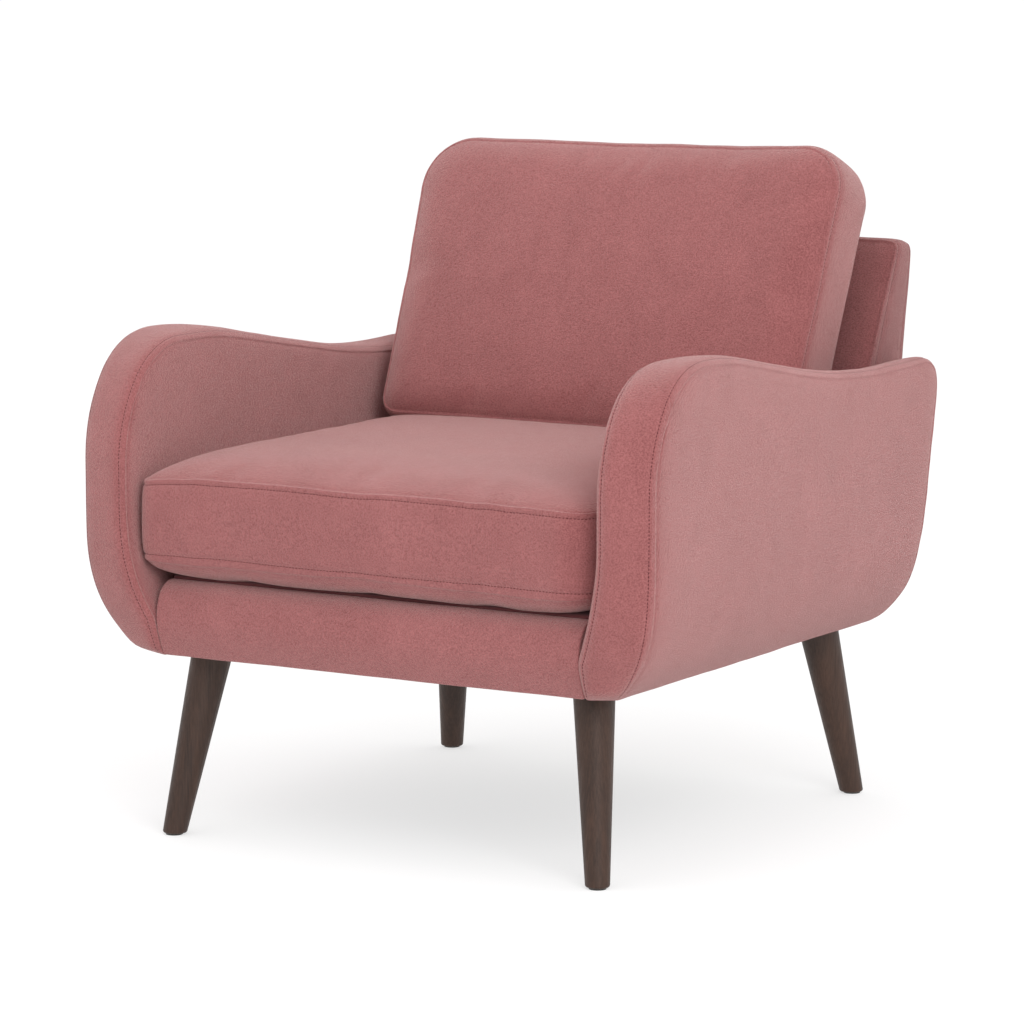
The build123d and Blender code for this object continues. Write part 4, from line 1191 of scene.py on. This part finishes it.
@dataclass
class FrontRail:
    """Padded rail under the seat cushion."""

    workshop: Workshop
    toe: float = 15 * MM

    def build(self) -> None:
        """Builds the rail."""
        low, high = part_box("front_rail_cover")
        half = high.x

        def front(flat: Array, depth: Array) -> Array:
            """The face in sight, which rolls back under the cushion."""
            x, z = flat.T
            under = np.clip((FACE_TOP - z) / (FACE_TOP - low.z), 0, 1)
            over = np.clip((z - FACE_TOP) / (high.z - FACE_TOP), 0, 1)
            rolled = (high.y - low.y) * (1 - np.sqrt(1 - over ** 2.2 * 0.985))
            return space(x, low.y + self.toe * under ** 1.6 + rolled, z)

        def rear(flat: Array, depth: Array) -> Array:
            """The face against the timber."""
            return space(flat[:, 0], high.y, flat[:, 1])

        patch = Patch.box((-half, low.z), (half, high.z), (MM,) * 4)
        form = PaddedForm(
            name="front_rail_upholstery",
            near=patch,
            far=patch,
            lift_near=front,
            lift_far=rear,
            columns=70,
            rows=14,
            width=25 * MM,
            crown=0.0,
            band_step=6 * MM,
            seams=SeamDress(half_width=1.0 * MM, near_rows=False, far_rows=False),
            sewn=nowhere,
            wave=0.4 * MM,
        )
        self.workshop.upholster(form, "frame", ("front_rail_cover", "front_rail_pad"), 0.9)


@dataclass
class Deck:
    """Lined pad that the seat cushion lies on."""

    workshop: Workshop
    corner_radius: float = 6 * MM
    edge_drop: float = 4 * MM
    edge_rise: float = 3.6 * MM
    edge_reach: float = 12 * MM

    def build(self) -> None:
        """Builds the deck."""
        low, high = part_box("deck_pad")
        cloth_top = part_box("deck_cloth")[1].z
        patch = Patch.box((low.x, low.y), (high.x, high.y), (self.corner_radius,) * 4)

        def top(flat: Array, depth: Array) -> Array:
            """The lined face."""
            z = cloth_top - self.edge_drop + plump(depth, self.edge_rise, self.edge_reach)
            return space(*flat.T, z)

        def bottom(flat: Array, depth: Array) -> Array:
            """The face on the springs."""
            return space(*flat.T, low.z)

        form = PaddedForm(
            name="deck_lining_pad",
            near=patch,
            far=patch,
            lift_near=top,
            lift_far=bottom,
            columns=50,
            rows=52,
            width=22 * MM,
            crown=1.2 * MM,
            seams=SeamDress(near_rows=False, far_rows=False),
            sewn=nowhere,
        )
        cover, _ = form.build()
        self.workshop.fit(cover, "frame", "lining", nodes=("deck_cloth", "deck_pad"), fill=0.8)


@dataclass
class Studio:
    """Floor, lights and camera."""

    azimuth: float = 30.794
    elevation: float = 8.385
    distance: float = 6.0
    target: Colour = (-0.011, -0.016, 0.364)
    lens: float = 177.06
    floor_size: float = 60.0
    floor_tone: float = 0.42
    floor_glow: float = 0.6
    sky: float = 0.99

    def build(self) -> None:
        """Builds the studio."""
        self._floor()
        self._world()
        self._lamp("key", (3.2, -3.0, 2.9), 2.6, 105.0)
        self._lamp("overhead", (-0.4, -0.6, 4.2), 3.0, 30.0)
        self._camera()
        bpy.context.scene.view_settings.view_transform = "Standard"

    def _floor(self) -> None:
        """Adds the floor."""
        mesh = bmesh.new()
        bmesh.ops.create_grid(mesh, x_segments=8, y_segments=8, size=self.floor_size / 2)
        floor = finished_piece("studio_floor", mesh)
        shader = Shader("studio_floor")
        shader.feed(Base_Color=(*(self.floor_tone,) * 3, 1.0), Roughness=1.0, Specular_IOR_Level=0.0,
                    Emission_Color=(1.0,) * 4, Emission_Strength=self.floor_glow)
        floor.data.materials.append(shader.material)

    def _world(self) -> None:
        """Adds soft light from all round."""
        world = bpy.data.worlds.new("studio")
        world.use_nodes = True
        backdrop = world.node_tree.nodes["Background"]
        backdrop.inputs["Color"].default_value = (1.0,) * 4
        backdrop.inputs["Strength"].default_value = self.sky
        bpy.context.scene.world = world

    def _lamp(self, name: str, place: Colour, size: float, power: float) -> None:
        """Adds one soft lamp that points at the chair."""
        data = bpy.data.lights.new(name, "AREA")
        data.energy = power
        data.shape = "SQUARE"
        data.size = size
        lamp = bpy.data.objects.new(name, data)
        lamp.location = place
        lamp.rotation_euler = (Vector(self.target) - Vector(place)).to_track_quat("-Z", "Y").to_euler()
        bpy.context.scene.collection.objects.link(lamp)

    def _camera(self) -> None:
        """Adds the camera."""
        turn, rise = math.radians(self.azimuth), math.radians(self.elevation)
        back = Vector((math.sin(turn) * math.cos(rise), -math.cos(turn) * math.cos(rise), math.sin(rise)))
        data = bpy.data.cameras.new("camera")
        data.lens = self.lens
        data.sensor_width = 36.0
        data.clip_end = 200.0
        camera = bpy.data.objects.new("camera", data)
        camera.location = Vector(self.target) + back * self.distance
        camera.rotation_euler = back.to_track_quat("Z", "Y").to_euler()
        bpy.context.scene.collection.objects.link(camera)
        bpy.context.scene.camera = camera


def main() -> None:
    """Builds the chair and its studio."""
    logging.basicConfig(level=logging.INFO, format="%(message)s")
    finishes = Finishes()
    finishes.dress_cad(frame["record"], frame["nodes"])
    workshop = Workshop(finishes)
    for side in Side:
        Arm(side, workshop).build()
    for part in (SeatCushion, BackCushion, BackFrame, FrontRail, Deck):
        part(workshop).build()
    Studio().build()
    LOG.info("%d pieces made", len(workshop.made))


if __name__ == "__main__":
    main()
